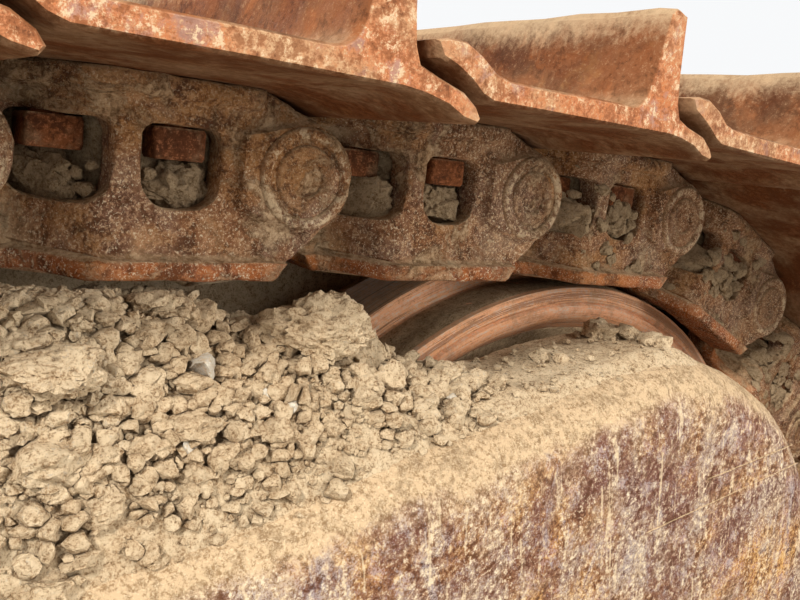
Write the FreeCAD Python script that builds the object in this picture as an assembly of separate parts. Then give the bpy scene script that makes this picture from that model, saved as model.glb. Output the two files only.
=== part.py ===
import FreeCAD, Part
import math
import os

# Crawler track unit of a bulldozer, right-hand side, in millimetres.
# X points forward (idler end), Y inboard, Z up. The unit stands on its grousers at Z = 0.
# It is drawn about the middle plane of the chain, halfway from the idler to the sprocket, and
# saved with its origin at the middle of its box.

os.makedirs("parts", exist_ok=True)

# Chain
pitch = 216.0                 # pin to pin
link_count = 34
rail_depth = 69.0             # pin line to the rail that runs on the wheels
shoe_seat = 54.0              # pin line to the face that carries the shoe
link_plate = 36.0             # thickness of one link
rail_start = 39.0             # rail runs from here ahead of the rear pin
rail_stop = 18.0              # to here behind the front pin
link_inner = 52.0             # middle plane to a link's inner face at its bushing
link_lap = 8.0                # side gap between one link's pin end and the next one's bushing end
bushing_radius = 33.0
link_nose = 40.0              # a link reaches this far past its pins
link_cheek = 5.0              # above the pin line, where it is longest
link_head = 36.0              # its seat for the shoe stops this far short of its pins
window_height = 52.0
window_width = 52.0
window_places = (151.0, 83.0)  # window centres, measured back from the front pin
running_gap = 0.3             # what rests on or runs in something else clears it by this

# Shoe
shoe_width = 560.0
shoe_plate = 15.0
grouser_height = 65.0         # above the plate
grouser_tip = 15.0
grouser_root = 34.0
grouser_rear = 150.0          # rear foot of the grouser, from the rear pin
lip_foot = 30.0               # front foot of the rear lip, from the rear pin
rear_lip_reach = 21.0         # how far the rear lip stands behind the rear pin
rear_lip_rise = 28.0
front_lip_reach = 15.0        # how far the front lip stands ahead of the front pin
front_lip_drop = 10.0

# Wheels
tooth_count = 24              # two tooth gaps to a pitch
teeth_per_pitch = 2
tooth_half_width = 36.0
tooth_tip_over_pitch = 20.0   # tooth tips stand this far outside the pin circle
tooth_tip_width = 17.0
tooth_seat_angle = 80.0       # degrees of seat each side of its deepest point
seat_facets = 4
wheel_flats = 60              # round the idler and the sprocket's hub
idler_tread_radius = 380.0
idler_half_width = 90.0
idler_flange_half_width = 36.0
idler_flange_height = 22.0
idler_web_half = 46.0
web_draft = 22.0
idler_rim = 36.0
idler_hub_radius = 112.0
idler_shaft_radius = 46.0
roller_radius = 105.0
roller_flange = 20.0
roller_tread_half = 146.0
roller_flange_width = 13.0
roller_shaft_radius = 34.0
roller_sides = 16
roller_count = 6
front_roller_run = 470.0      # idler axle back to the front track roller
roller_spacing = 268.0
carrier_radius = 92.0
carrier_flats = 24
carrier_side_gap = 6.0        # between the rollers and the frame rails
carrier_shaft_radius = 28.0

# Path of the pins
top_slope = 10.0              # degrees, top run down to the idler
front_carrier_run = 700.0     # idler axle back to the front carrier roller
carrier_spacing = 640.0
top_bend_radius = 420.0       # of the pin path over the front carrier roller
rear_bend_radius = 250.0      # of the pin path behind the last track roller
rear_bend_run = 165.0         # last track roller back to where that bend starts
sprocket_z = 770.0            # sprocket axle above the ground
idler_phase = 0.583           # pitches from a pin to the idler's upper tangent point

# Frame
rail_inner = 128.0            # middle plane to a frame rail's inner side
rail_width = 101.0
rail_below_tread = 45.0       # rail top and nose stay this far inside the idler's tread
rail_bottom_gap = 12.0        # rail underside above the roller flanges
rail_edge_radius = 48.0
rail_flats = 16                # round a rail's nose, and as many round its rear end
crown_flats = 5                # across its rounded edge
rear_foot_angle = 230.0       # degrees, where the rail's underside leaves the rear boss
plate = 20.0                  # deck, belly and bulkhead plates
deck_drop = 70.0              # deck below the rail top
wheel_gap = 40.0              # plates stop this far from idler and sprocket
yoke_arm = 29.0
yoke_side_gap = 2.0
yoke_height = 150.0
yoke_bridge = 70.0
recoil_travel = 150.0         # rod showing between yoke and cylinder
recoil_length = 620.0
recoil_radius = 104.0
recoil_floor_gap = 26.8       # recoil cylinder above the belly plate
bridge_floor_gap = 55.8       # yoke's bridge above the belly plate
recoil_rod_radius = 44.0
collar_length = 60.0
collar_half_width = 62.0
carrier_stand_width = 60.0
carrier_stand_wall = 26.0
guard_thickness = 16.0
guard_lap = 70.0
guard_overhang = 130.0
guard_cut = 70.0
guard_below_axle = 60.0
brace_reach = 640.0           # middle plane to the middle of the pivot bearing
brace_section = 120.0
pivot_bore_radius = 62.0
pivot_wall = 40.0
pivot_length = 150.0
seat_pad = (260.0, 150.0, 50.0)   # equalizer seat along X, Y and at its ends along Z
seat_depth = 130.0
seat_drop = 90.0              # its top below the rail top
seat_ahead = 350.0            # ahead of the brace

# Earth packed on the frame
heap_height = 106.0           # above the frame rails
heap_toe = 22.0               # foot of its side slopes, in from a rail's outer side
heap_end = 66.0               # its thin end, behind the idler axle
heap_end_height = 3.0
heap_rear_slope = 90.0        # length of the slope at its rear end
heap_roller_gap = 6.0         # left clear by the carrier rollers as they turn

# Sprocket shaft and hub
sprocket_shaft_radius = 70.0
hub_radius = 190.0
hub_nose_radius = 130.0
hub_side_gap = 6.0
hub_reach = 170.0             # hub's inboard face, which the final drive bolts to

# Worked out
ground_to_pins = shoe_seat + shoe_plate + grouser_height
link_skew = (link_plate + link_lap) / pitch
link_outer = link_inner + 2 * link_plate + link_lap
pin_circle = pitch / (2 * math.sin(math.pi * teeth_per_pitch / tooth_count))
idler_pins = math.hypot(idler_tread_radius + running_gap + rail_depth, pitch / 2)
idler_z = ground_to_pins + idler_pins
roller_z = ground_to_pins + rail_depth + running_gap + roller_radius
nose_radius = idler_tread_radius - rail_below_tread
rail_top = idler_z + nose_radius
rail_bottom = roller_z + roller_radius + roller_flange + rail_bottom_gap
rail_outer = rail_inner + rail_width
belly_top = rail_bottom + plate
recoil_z = belly_top + recoil_floor_gap + recoil_radius


def at(angle, radius, centre=(0.0, 0.0)):
    return (centre[0] + radius * math.cos(angle), centre[1] + radius * math.sin(angle))


def wire(points, y=0.0, skew=0.0):
    corners = [FreeCAD.Vector(x, y + skew * x, z) for x, z in points]
    return Part.makePolygon(corners + corners[:1])


def prism(points, low, high, holes=(), skew=0.0):
    """Solid between Y = low and Y = high from an outline in X and Z."""
    wires = [wire(ring, low, skew) for ring in [points] + list(holes)]
    face = Part.makeFace(wires, "Part::FaceMakerBullseye")
    return face.extrude(FreeCAD.Vector(0, high - low, 0))


def turned(profile, centre):
    """Ring about a Y axis through centre, from an outline in radius and Y, in narrow flats."""
    turns = [2 * math.pi * i / wheel_flats for i in range(wheel_flats)]
    rims = []
    for radius, y in profile:
        rims.append([FreeCAD.Vector(x, y, z) for x, z in (at(turn, radius, centre) for turn in turns)])
    faces = []
    for a, b in zip(rims, rims[1:] + rims[:1]):
        if a[0].y == b[0].y:
            edges = [Part.makePolygon(rim + rim[:1]) for rim in (a, b)]
            faces.append(Part.makeFace(edges, "Part::FaceMakerBullseye"))
        else:
            for i in range(wheel_flats):
                faces.append(Part.Face(Part.makePolygon([a[i - 1], a[i], b[i], b[i - 1], a[i - 1]])))
    return closed(faces)


def closed(faces):
    shell = Part.Shell(faces)
    shell.sewShape()
    return Part.Solid(shell)


def skinned(sections):
    """Solid over outlines that have the same number of corners, in triangles."""
    faces = [Part.Face(Part.makePolygon(ring + ring[:1])) for ring in (sections[0], sections[-1])]
    for a, b in zip(sections, sections[1:]):
        for i in range(len(a)):
            for corners in ([a[i - 1], a[i], b[i]], [a[i - 1], b[i], b[i - 1]]):
                faces.append(Part.Face(Part.makePolygon(corners + corners[:1])))
    return closed(faces)


def rod(centre, radius, low, high):
    axis = FreeCAD.Vector(0, 1, 0)
    return Part.makeCylinder(radius, high - low, FreeCAD.Vector(centre[0], low, centre[1]), axis)


def block(x, y, z):
    corner = FreeCAD.Vector(min(x), min(y), min(z))
    return Part.makeBox(abs(x[1] - x[0]), abs(y[1] - y[0]), abs(z[1] - z[0]), corner)


def mirrored(shape):
    return shape.mirror(FreeCAD.Vector(0, 0, 0), FreeCAD.Vector(0, 1, 0))


def save(name, *solids):
    shape = solids[0].copy() if len(solids) == 1 else Part.Compound(list(solids))
    shape.translate(-home)
    shape.exportStep("parts/%s.step" % name)


# Pin path: straight runs and arcs, clockwise as seen from the outboard side

def tangent_angle(a, b):
    """Direction of the straight run that leaves circle a and meets circle b."""
    run = math.hypot(b[0] - a[0], b[1] - a[1])
    return math.atan2(b[1] - a[1], b[0] - a[0]) - math.asin((a[2] - b[2]) / run)


def pin_path(circles):
    """Pieces of the path, each (length, function from distance to point)."""
    pieces = []
    count = len(circles)
    angles = [tangent_angle(circles[i], circles[(i + 1) % count]) for i in range(count)]
    for i, circle in enumerate(circles):
        turn = (angles[i - 1] - angles[i]) % (2 * math.pi)
        start = angles[i - 1] + math.pi / 2
        pieces.append((turn * circle[2], ("arc", circle, start)))
        after = circles[(i + 1) % count]
        leave = at(angles[i] + math.pi / 2, circle[2], circle)
        meet = at(angles[i] + math.pi / 2, after[2], after)
        pieces.append((math.dist(leave, meet), ("run", leave, angles[i])))
    return pieces


def point_on(pieces, distance):
    total = sum(length for length, piece in pieces)
    distance %= total
    for length, (kind, place, angle) in pieces:
        if distance <= length:
            break
        distance -= length
    if kind == "arc":
        return at(angle - distance / place[2], place[2], place)
    return at(angle, distance, place)


def next_pin(pieces, distance):
    """Distance along the path of the pin one pitch further on."""
    here = point_on(pieces, distance)
    low, high = distance + 0.8 * pitch, distance + 1.3 * pitch
    for _ in range(60):
        middle = (low + high) / 2
        if math.dist(here, point_on(pieces, middle)) < pitch:
            low = middle
        else:
            high = middle
    return low


def circles_for(length):
    """Circles that the pins follow, clockwise from the idler, as (x, z, radius)."""
    idler_x, sprocket_x = length / 2, -length / 2
    slope = math.radians(top_slope)
    bend_x = idler_x - front_carrier_run
    lift = idler_pins - top_bend_radius + front_carrier_run * math.sin(slope)
    return [
        (idler_x, idler_z, idler_pins),
        (roller_places(length)[0] - rear_bend_run, ground_to_pins + rear_bend_radius, rear_bend_radius),
        (sprocket_x, sprocket_z, pin_circle),
        (bend_x, idler_z + lift / math.cos(slope), top_bend_radius),
    ]


def roller_places(length):
    """Track rollers from rear to front, nearer the idler than the sprocket."""
    front = length / 2 - front_roller_run
    return [front - roller_spacing * i for i in reversed(range(roller_count))]


def pins_for(length):
    """Pins one pitch apart, and how far the last one falls short of the first."""
    pieces = pin_path(circles_for(length))
    total = sum(piece_length for piece_length, piece in pieces)
    distance = total - idler_phase * pitch
    first = distance
    pins = []
    for _ in range(link_count):
        pins.append(point_on(pieces, distance))
        distance = next_pin(pieces, distance)
    return pins, first + total - distance


def wheelbase():
    """Idler axle to sprocket axle, so that the chain closes with its number of links."""
    low, high = 0.25 * link_count * pitch, 0.45 * link_count * pitch
    for _ in range(50):
        middle = (low + high) / 2
        if pins_for(middle)[1] < 0:
            low = middle
        else:
            high = middle
    return low


length = wheelbase()
pins = pins_for(length)[0]
idler = (length / 2, idler_z)
sprocket = (-length / 2, sprocket_z)


# Chain: one link of each kind, laid along the pins

def on_links(solid):
    """Copies of a solid that is drawn from the rear pin, one on each link."""
    copies = []
    for i, rear in enumerate(pins):
        front = pins[(i + 1) % link_count]
        turn = math.degrees(math.atan2(front[1] - rear[1], front[0] - rear[0]))
        copy = solid.copy()
        lift = FreeCAD.Rotation(FreeCAD.Vector(0, 1, 0), -turn)
        copy.Placement = FreeCAD.Placement(FreeCAD.Vector(rear[0], 0, rear[1]), lift)
        copies.append(copy)
    return copies


def link():
    outline = [
        (rail_start, -rail_depth),
        (pitch - rail_stop, -rail_depth),
        (pitch + link_nose, link_cheek),
        (pitch - link_head, shoe_seat),
        (link_head, shoe_seat),
        (-link_nose, link_cheek),
    ]
    windows = []
    for back in window_places:
        x, half = pitch - back, window_width / 2
        low, high = -window_height / 2, window_height / 2
        windows.append([(x - half, low), (x + half, low), (x + half, high), (x - half, high)])
    return prism(outline, link_inner, link_inner + link_plate, windows, link_skew)


def shoe():
    top = shoe_seat + shoe_plate
    tip = grouser_rear + (grouser_root - grouser_tip) / 2
    outline = [
        (-rear_lip_reach, shoe_seat + rear_lip_rise),
        (lip_foot, top),
        (grouser_rear, top),
        (tip, top + grouser_height),
        (tip + grouser_tip, top + grouser_height),
        (grouser_rear + grouser_root, top),
        (pitch + front_lip_reach, shoe_seat - front_lip_drop),
        (grouser_rear + grouser_root, shoe_seat),
        (lip_foot, shoe_seat),
    ]
    return prism(outline, -shoe_width / 2, shoe_width / 2)


def bushing():
    sides = 6
    outline = [at(2 * math.pi * i / sides, bushing_radius) for i in range(sides)]
    half = link_inner + link_plate + link_lap - link_skew * bushing_radius - running_gap
    return prism(outline, -half, half)


shoes = on_links(shoe())
box = Part.Compound(shoes).BoundBox
home = FreeCAD.Vector((box.XMin + box.XMax) / 2,
                      (brace_reach + pivot_length / 2 - shoe_width / 2) / 2, 0)
save("track_shoes", *shoes)
one_link = link()
save("track_links_inboard", *on_links(one_link))
save("track_links_outboard", *on_links(mirrored(one_link)))
save("track_bushings", *on_links(bushing()))


# Wheels

def seat_height(x, radius):
    """Height at which a roller under the top run just clears the rails above it."""
    edges = []
    for i, rear in enumerate(pins):
        front = pins[(i + 1) % link_count]
        if front[0] > rear[0]:
            along = ((front[0] - rear[0]) / pitch, (front[1] - rear[1]) / pitch)
            ends = [(rear[0] + along[0] * t + along[1] * rail_depth,
                     rear[1] + along[1] * t - along[0] * rail_depth)
                    for t in (rail_start, pitch - rail_stop)]
            edges.append(ends)
    near = [end[1] for edge in edges for end in edge if abs(end[0] - x) < pitch]
    low, high = idler_z, max(near)
    for _ in range(50):
        middle = (low + high) / 2
        if min(gap_to((x, middle), a, b) for a, b in edges) > radius + running_gap:
            low = middle
        else:
            high = middle
    return low


def gap_to(point, a, b):
    """From a point below an edge that runs a to b, or nothing where it is above it."""
    run = math.dist(a, b)
    along = ((b[0] - a[0]) / run, (b[1] - a[1]) / run)
    offset = (point[0] - a[0], point[1] - a[1])
    above = offset[1] * along[0] - offset[0] * along[1]
    t = min(max(offset[0] * along[0] + offset[1] * along[1], 0), run)
    near = (a[0] + along[0] * t, a[1] + along[1] * t)
    inside = 0 < t < run
    return -above if inside else math.dist(point, near)


def many_sided(radius, low, high, centre):
    """Short bar with a flat underneath, as far from the axis as a round one's surface."""
    corner = radius / math.cos(math.pi / roller_sides)
    turns = [2 * math.pi * (i + 0.5) / roller_sides - math.pi / 2 for i in range(roller_sides)]
    return prism([at(turn, corner, centre) for turn in turns], low, high)


def track_roller(place):
    half, rim = roller_tread_half, roller_tread_half + roller_flange_width
    reach = rail_outer - collar_length
    solid = many_sided(roller_radius, -half, half, place)
    flange = roller_radius + roller_flange
    solid = solid.fuse([many_sided(flange, -rim, -half, place), many_sided(flange, half, rim, place),
                        many_sided(roller_shaft_radius, -reach, reach, place)])
    return solid.removeSplitter()


rollers = [(x, roller_z) for x in roller_places(length)]
save("track_rollers", *[track_roller(place) for place in rollers])

front_carrier_x = idler[0] - front_carrier_run
carriers = [(x, seat_height(x, carrier_radius))
            for x in (front_carrier_x - carrier_spacing, front_carrier_x)]
carrier_half = rail_inner - carrier_side_gap
shaft_end = rail_inner + carrier_stand_width


def carrier_ring(radius, place):
    turns = [2 * math.pi * i / carrier_flats for i in range(carrier_flats)]
    return [at(turn, radius, place) for turn in turns]


def carrier_roller(place):
    """Roller and shaft, its corners as far from the axis as a round one's surface."""
    roller = prism(carrier_ring(carrier_radius, place), -carrier_half, carrier_half)
    shaft = prism(carrier_ring(carrier_shaft_radius, place), carrier_half, shaft_end)
    return roller.fuse(shaft)


save("carrier_rollers", *[carrier_roller(place) for place in carriers])


def idler_wheel():
    tread, flange = idler_tread_radius, idler_tread_radius + idler_flange_height
    bore, rim = idler_shaft_radius + running_gap, idler_tread_radius - idler_rim
    half, web, mid = idler_half_width, idler_web_half, idler_flange_half_width
    side = [(bore, half), (idler_hub_radius, half), (rim - web_draft, web), (rim, half),
            (tread, half), (tread, mid), (flange, mid)]
    other = [(radius, -y) for radius, y in reversed(side)]
    return turned(side + other, idler)


save("idler_wheel", idler_wheel())


def toothed_outline():
    """The rim with a seat for a bushing between each two teeth, faceted like the bushing."""
    step = 2 * math.pi / tooth_count
    first = math.atan2(on_sprocket[1] - sprocket[1], on_sprocket[0] - sprocket[0])
    seat = (bushing_radius + running_gap) / math.cos(math.radians(tooth_seat_angle / seat_facets))
    tip = pin_circle + tooth_tip_over_pitch
    half_tip = tooth_tip_width / 2 / tip
    outline = []
    for i in range(tooth_count):
        middle = first + i * step
        root = at(middle, pin_circle, sprocket)
        for k in range(seat_facets + 1):
            swing = math.radians(tooth_seat_angle * (1 - 2 * k / seat_facets))
            outline.append(at(middle + math.pi + swing, seat, root))
        outline.append(at(middle + step / 2 - half_tip, tip, sprocket))
        outline.append(at(middle + step / 2 + half_tip, tip, sprocket))
    return outline


def sprocket_rim():
    disc = prism(toothed_outline(), -tooth_half_width, tooth_half_width)
    return disc.cut(rod(sprocket, hub_radius, -tooth_half_width, tooth_half_width))


def sprocket_hub():
    """Barrel through the rim, narrow at its outboard end, its inboard end a flat bolting face."""
    bore, low = sprocket_shaft_radius + running_gap, -rail_inner + hub_side_gap
    return turned([(bore, low), (hub_nose_radius, low), (hub_nose_radius, -tooth_half_width),
                   (hub_radius, -tooth_half_width), (hub_radius, hub_reach), (bore, hub_reach)],
                  sprocket)


on_sprocket = min(pins)
save("sprocket_rim", sprocket_rim())
save("sprocket_hub", sprocket_hub())
save("wheel_shafts", rod(idler, idler_shaft_radius, -rail_inner, rail_inner),
     rod(sprocket, sprocket_shaft_radius, -rail_inner, hub_reach))


# Frame

def arc_points(centre, radius, start, stop):
    """Points along an arc between two angles in degrees, in narrow flats."""
    turns = [math.radians(start + (stop - start) * i / rail_flats) for i in range(rail_flats + 1)]
    return [at(turn, radius, centre) for turn in turns]


def rail_side(drawn_in, whole):
    """Side outline of a frame rail, its top and ends drawn in by the rounding of its outer edge.

    Only the outboard rail reaches round the sprocket shaft.
    """
    low = -math.degrees(math.asin((idler_z - rail_bottom) / nose_radius))
    nose_foot = at(math.radians(low), nose_radius, idler)
    outline = arc_points(idler, nose_radius - drawn_in, 90, low)
    outline.append((nose_foot[0] - rail_edge_radius, rail_bottom))
    if not whole:
        rear = inner_rail_rear()
        return outline + [(rear, rail_bottom), (rear, rail_top - drawn_in)]
    wall = rail_top - sprocket_z - drawn_in
    foot = at(math.radians(rear_foot_angle), wall, sprocket)
    slope = math.radians(rear_foot_angle + 90)
    run = (foot[1] - rail_bottom) / -math.sin(slope)
    outline.append((foot[0] + run * math.cos(slope), rail_bottom))
    return outline + arc_points(sprocket, wall, rear_foot_angle, 90)


def inner_rail_rear():
    return sprocket[0] + pin_circle + tooth_tip_over_pitch + wheel_gap


def frame_rail(side, whole):
    """One rail as a solid beam, its outer top edge and nose well rounded."""
    levels = [(rail_inner, 0.0)]
    for i in range(crown_flats + 1):
        turn = math.pi / 2 * i / crown_flats
        levels.append((rail_outer - rail_edge_radius * (1 - math.sin(turn)),
                       rail_edge_radius * (1 - math.cos(turn))))
    sections = [[FreeCAD.Vector(x, side * y, z) for x, z in rail_side(drawn_in, whole)]
                for y, drawn_in in levels]
    return skinned(sections[::side])


save("frame_rail_outboard", frame_rail(-1, True))
save("frame_rail_inboard", frame_rail(1, False))

# Plates between the rails, from the sprocket's clearance to the idler's
plate_rear = inner_rail_rear()
plate_front = idler[0] - idler_tread_radius - idler_flange_height - wheel_gap
deck_top = rail_top - deck_drop
save("deck_plate", block((plate_rear, plate_front), (-rail_inner, rail_inner),
                         (deck_top - plate, deck_top)))
save("belly_plate", block((plate_rear, plate_front), (-rail_inner, rail_inner),
                          (rail_bottom, belly_top)))


# Idler mounting: yoke, and behind it the recoil rod and cylinder

def idler_yoke():
    inner = rail_inner - yoke_side_gap - yoke_arm
    half = yoke_height / 2
    rear, front = plate_front, idler[0] + idler_hub_radius
    arms = []
    for side in (-1, 1):
        arm = block((rear, front), (side * inner, side * (inner + yoke_arm)),
                    (idler_z - half, idler_z + half))
        arms.append(arm.cut(rod(idler, idler_shaft_radius, -rail_inner, rail_inner)))
    bridge = block((rear - yoke_bridge, rear), (-inner - yoke_arm, inner + yoke_arm),
                   (belly_top + bridge_floor_gap, max(idler_z, recoil_z) + half))
    return bridge.fuse(arms).removeSplitter()


def along_x(radius, rear, front):
    place = FreeCAD.Vector(rear, 0, recoil_z)
    return Part.makeCylinder(radius, front - rear, place, FreeCAD.Vector(1, 0, 0))


yoke_rear = plate_front - yoke_bridge
recoil_front = yoke_rear - recoil_travel
save("idler_yoke", idler_yoke())
recoil_rear = recoil_front - recoil_length
cylinder = along_x(recoil_radius, recoil_rear, recoil_front)
bulkhead = block((recoil_rear - plate, recoil_rear), (-rail_inner, rail_inner),
                 (belly_top, deck_top - plate))
save("recoil_unit", cylinder.fuse([along_x(recoil_rod_radius, recoil_front, yoke_rear), bulkhead]))


# Carrier rollers hang on stub shafts in stands on the inboard rail

def carrier_stand(place, holes=()):
    half = carrier_shaft_radius + carrier_stand_wall
    outline = [point for point in carrier_ring(half, place) if point[1] > place[1] - 1]
    outline += [(place[0] - half, rail_top), (place[0] + half, rail_top)]
    return prism(outline, rail_inner, rail_inner + carrier_stand_width, holes)


save("carrier_stands",
     *[carrier_stand(place, [carrier_ring(carrier_shaft_radius, place)]) for place in carriers])


# Earth heaped on the deck and along both rails as far as the idler, highest under the chain

def heap_section(x, height):
    toe, inner = rail_outer - heap_toe, rail_inner
    profile = [(-toe, rail_top), (-inner, rail_top + height), (inner, rail_top + height),
               (toe, rail_top), (inner, rail_top), (inner, deck_top), (-inner, deck_top),
               (-inner, rail_top)]
    return [FreeCAD.Vector(x, y, z) for y, z in profile]


def heap_ridge(side):
    """Wedge along a rail from the deck forward, its ridge in line with the rail's inner side."""
    toe, inner = side * (rail_outer - heap_toe), side * rail_inner
    run = idler[0] - heap_end - plate_front
    sections = []
    for share in (0.0, 0.25, 0.5, 0.75, 1.0):
        height = heap_height * (1 - share * share * (3 - 2 * share)) + heap_end_height * share
        x = plate_front + run * share
        sections.append([FreeCAD.Vector(x, toe, rail_top), FreeCAD.Vector(x, inner, rail_top + height),
                         FreeCAD.Vector(x, inner, rail_top)])
    return skinned(sections)


def earth_heap():
    bed = skinned([heap_section(plate_rear, heap_end_height),
                   heap_section(plate_rear + heap_rear_slope, heap_height),
                   heap_section(plate_front, heap_height)])
    heap = bed.fuse([heap_ridge(-1), heap_ridge(1)])
    for place in carriers:
        clear = carrier_ring(carrier_radius + heap_roller_gap, place)
        heap = heap.cut([prism(clear, -rail_inner, rail_inner), carrier_stand(place)])
    return heap.removeSplitter()


save("packed_earth", earth_heap())


# Roller shafts hang from the rails by collars; guards cover them on both sides

def roller_collar(place, side):
    half = collar_half_width
    y = (side * (rail_outer - collar_length), side * rail_outer)
    return block((place[0] - half, place[0] + half), y, (roller_z - half, rail_bottom))


collars = [roller_collar(place, side) for place in rollers for side in (-1, 1)]
save("roller_collars", *collars)


def roller_guard(side):
    rear, front = rollers[0][0] - guard_overhang, rollers[-1][0] + guard_overhang
    low = roller_z - guard_below_axle
    outline = [(rear, rail_bottom), (rear, roller_z), (rear + guard_cut, low),
               (front - guard_cut, low), (front, roller_z), (front, rail_bottom)]
    y = rail_outer if side > 0 else -rail_outer - guard_thickness
    flange = prism(outline, y, y + guard_thickness)
    lap = [(rear, rail_bottom), (front, rail_bottom),
           (front, rail_bottom + guard_lap), (rear, rail_bottom + guard_lap)]
    return flange.fuse(prism(lap, y, y + guard_thickness)).removeSplitter()


save("roller_guard_outboard", roller_guard(-1))
save("roller_guard_inboard", roller_guard(1))


# Diagonal brace from the inboard rail to the pivot bearing on the sprocket axis

def diagonal_brace():
    half = brace_section / 2
    start = ((plate_rear + plate_front) / 2, rail_outer)
    end = (sprocket[0], brace_reach)
    run = math.dist(start, end)
    along = ((end[0] - start[0]) / run, (end[1] - start[1]) / run)
    corners = []
    for side in (-1, 1):
        tip = (end[0] - side * half * along[1], end[1] + side * half * along[0])
        back = (tip[1] - rail_outer) / along[1]
        root = (tip[0] - back * along[0], rail_outer)
        corners += [tip, root] if side < 0 else [root, tip]
    outline = [FreeCAD.Vector(x, y, sprocket_z - half) for x, y in corners]
    boom = Part.Face(Part.makePolygon(outline + outline[:1])).extrude(FreeCAD.Vector(0, 0, 2 * half))
    y = (brace_reach - pivot_length / 2, brace_reach + pivot_length / 2)
    eye = rod(sprocket, pivot_bore_radius + pivot_wall, *y)
    return boom.fuse(eye).removeSplitter().cut(rod(sprocket, pivot_bore_radius, *y))


save("diagonal_brace", diagonal_brace())

pad_x = (plate_front + plate_rear) / 2 + seat_ahead
pad_top = rail_top - seat_drop
save("equalizer_seat", prism(
    [(pad_x - seat_pad[0] / 2, pad_top), (pad_x - seat_pad[0] / 2, pad_top - seat_pad[2]),
     (pad_x - seat_pad[0] / 4, pad_top - seat_depth), (pad_x + seat_pad[0] / 4, pad_top - seat_depth),
     (pad_x + seat_pad[0] / 2, pad_top - seat_pad[2]), (pad_x + seat_pad[0] / 2, pad_top)],
    rail_outer, rail_outer + seat_pad[1]))
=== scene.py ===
import bpy
import bmesh
import math
import random
import numpy as np
from mathutils import Matrix, Vector, noise
from mathutils.geometry import tessellate_polygon


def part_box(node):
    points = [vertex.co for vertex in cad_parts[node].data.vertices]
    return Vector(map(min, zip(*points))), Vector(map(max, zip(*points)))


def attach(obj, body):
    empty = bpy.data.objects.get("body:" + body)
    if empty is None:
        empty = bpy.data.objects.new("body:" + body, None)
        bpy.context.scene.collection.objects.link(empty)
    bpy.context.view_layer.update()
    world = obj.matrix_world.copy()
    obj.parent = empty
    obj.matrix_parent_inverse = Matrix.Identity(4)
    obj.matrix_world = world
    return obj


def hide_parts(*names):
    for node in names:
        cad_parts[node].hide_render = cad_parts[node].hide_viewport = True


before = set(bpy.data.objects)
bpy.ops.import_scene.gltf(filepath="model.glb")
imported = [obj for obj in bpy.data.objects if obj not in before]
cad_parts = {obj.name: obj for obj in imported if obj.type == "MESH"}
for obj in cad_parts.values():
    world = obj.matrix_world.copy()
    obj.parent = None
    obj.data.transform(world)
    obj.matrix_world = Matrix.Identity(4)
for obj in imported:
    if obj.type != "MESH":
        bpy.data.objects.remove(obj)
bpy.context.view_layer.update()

# The crawler track unit of a bulldozer, right-hand side, in metres. X runs forward to the idler,
# Y inboard, Z up. Shapes are pairs of arrays: points, and the triangles between them.

print("reading the packed frame")


def nodeCorners(node):              # a node's points
    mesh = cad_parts[node].data
    found = np.zeros(len(mesh.vertices) * 3)
    mesh.vertices.foreach_get("co", found)
    return found.reshape(-1, 3)


def clusters(points, reach):        # middles of groups of points that lie within reach of each other
    left, middles = [tuple(p) for p in np.unique(points.round(5), axis=0)], []
    while left:
        first = left[0]
        near = [p for p in left if math.dist(p, first) < reach]
        middles.append(tuple(np.mean(near, axis=0)))
        left = [p for p in left if math.dist(p, first) >= reach]
    return middles


bushingCorners = nodeCorners("track_bushings")
chainY = float((bushingCorners[:, 1].min() + bushingCorners[:, 1].max()) / 2)
loopMiddle = tuple((bushingCorners[:, [0, 2]].min(0) + bushingCorners[:, [0, 2]].max(0)) / 2)
pins = clusters(bushingCorners[:, [0, 2]], 0.08)
pins.sort(key=lambda p: -math.atan2(p[1] - loopMiddle[1], p[0] - loopMiddle[0]))   # clockwise
pitch = math.dist(pins[0], pins[1])


def axle(node):                     # middle of a node as (x, z)
    low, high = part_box(node)
    return ((low.x + high.x) / 2, (low.z + high.z) / 2)


idlerAxle = axle("idler_wheel")
sprocketAxle = axle("sprocket_hub")
railLow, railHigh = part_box("frame_rail_outboard")
deckLow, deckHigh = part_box("deck_plate")


# Shapes

def joined(shapes):                 # several shapes as one
    points, faces, count = [], [], 0
    for p, f in shapes:
        points.append(p)
        faces.append(f + count)
        count += len(p)
    return np.concatenate(points), np.concatenate(faces)


def placed(shape, matrix):
    m = np.array(matrix)
    points = shape[0] @ m[:3, :3].T + m[:3, 3]
    faces = shape[1] if np.linalg.det(m[:3, :3]) > 0 else shape[1][:, ::-1]
    return points, faces


def shifted(shape, x=0.0, y=0.0, z=0.0):
    return shape[0] + np.array([x, y, z]), shape[1]


def mirroredY(shape):
    return shape[0] * np.array([1, -1, 1]), shape[1][:, ::-1]


def arc(centre, radius, start, stop, steps):
    turns = [math.radians(start + (stop - start) * i / steps) for i in range(steps + 1)]
    return [(centre[0] + radius * math.cos(t), centre[1] + radius * math.sin(t)) for t in turns]


def eased(points, radius, steps=3):          # each corner of an outline turned into a short curve
    result = []
    for i, corner in enumerate(points):
        before, after = points[i - 1], points[(i + 1) % len(points)]
        own = corner[2] if len(corner) > 2 else radius
        here = Vector(corner[:2])
        back, on = Vector(before[:2]) - here, Vector(after[:2]) - here
        cut = min(own, back.length * 0.45, on.length * 0.45)
        a, b = here + back.normalized() * cut, here + on.normalized() * cut
        for k in range(steps + 1):
            t = k / steps
            result.append(tuple((1 - t) ** 2 * a + 2 * t * (1 - t) * here + t * t * b))
    return result


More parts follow.
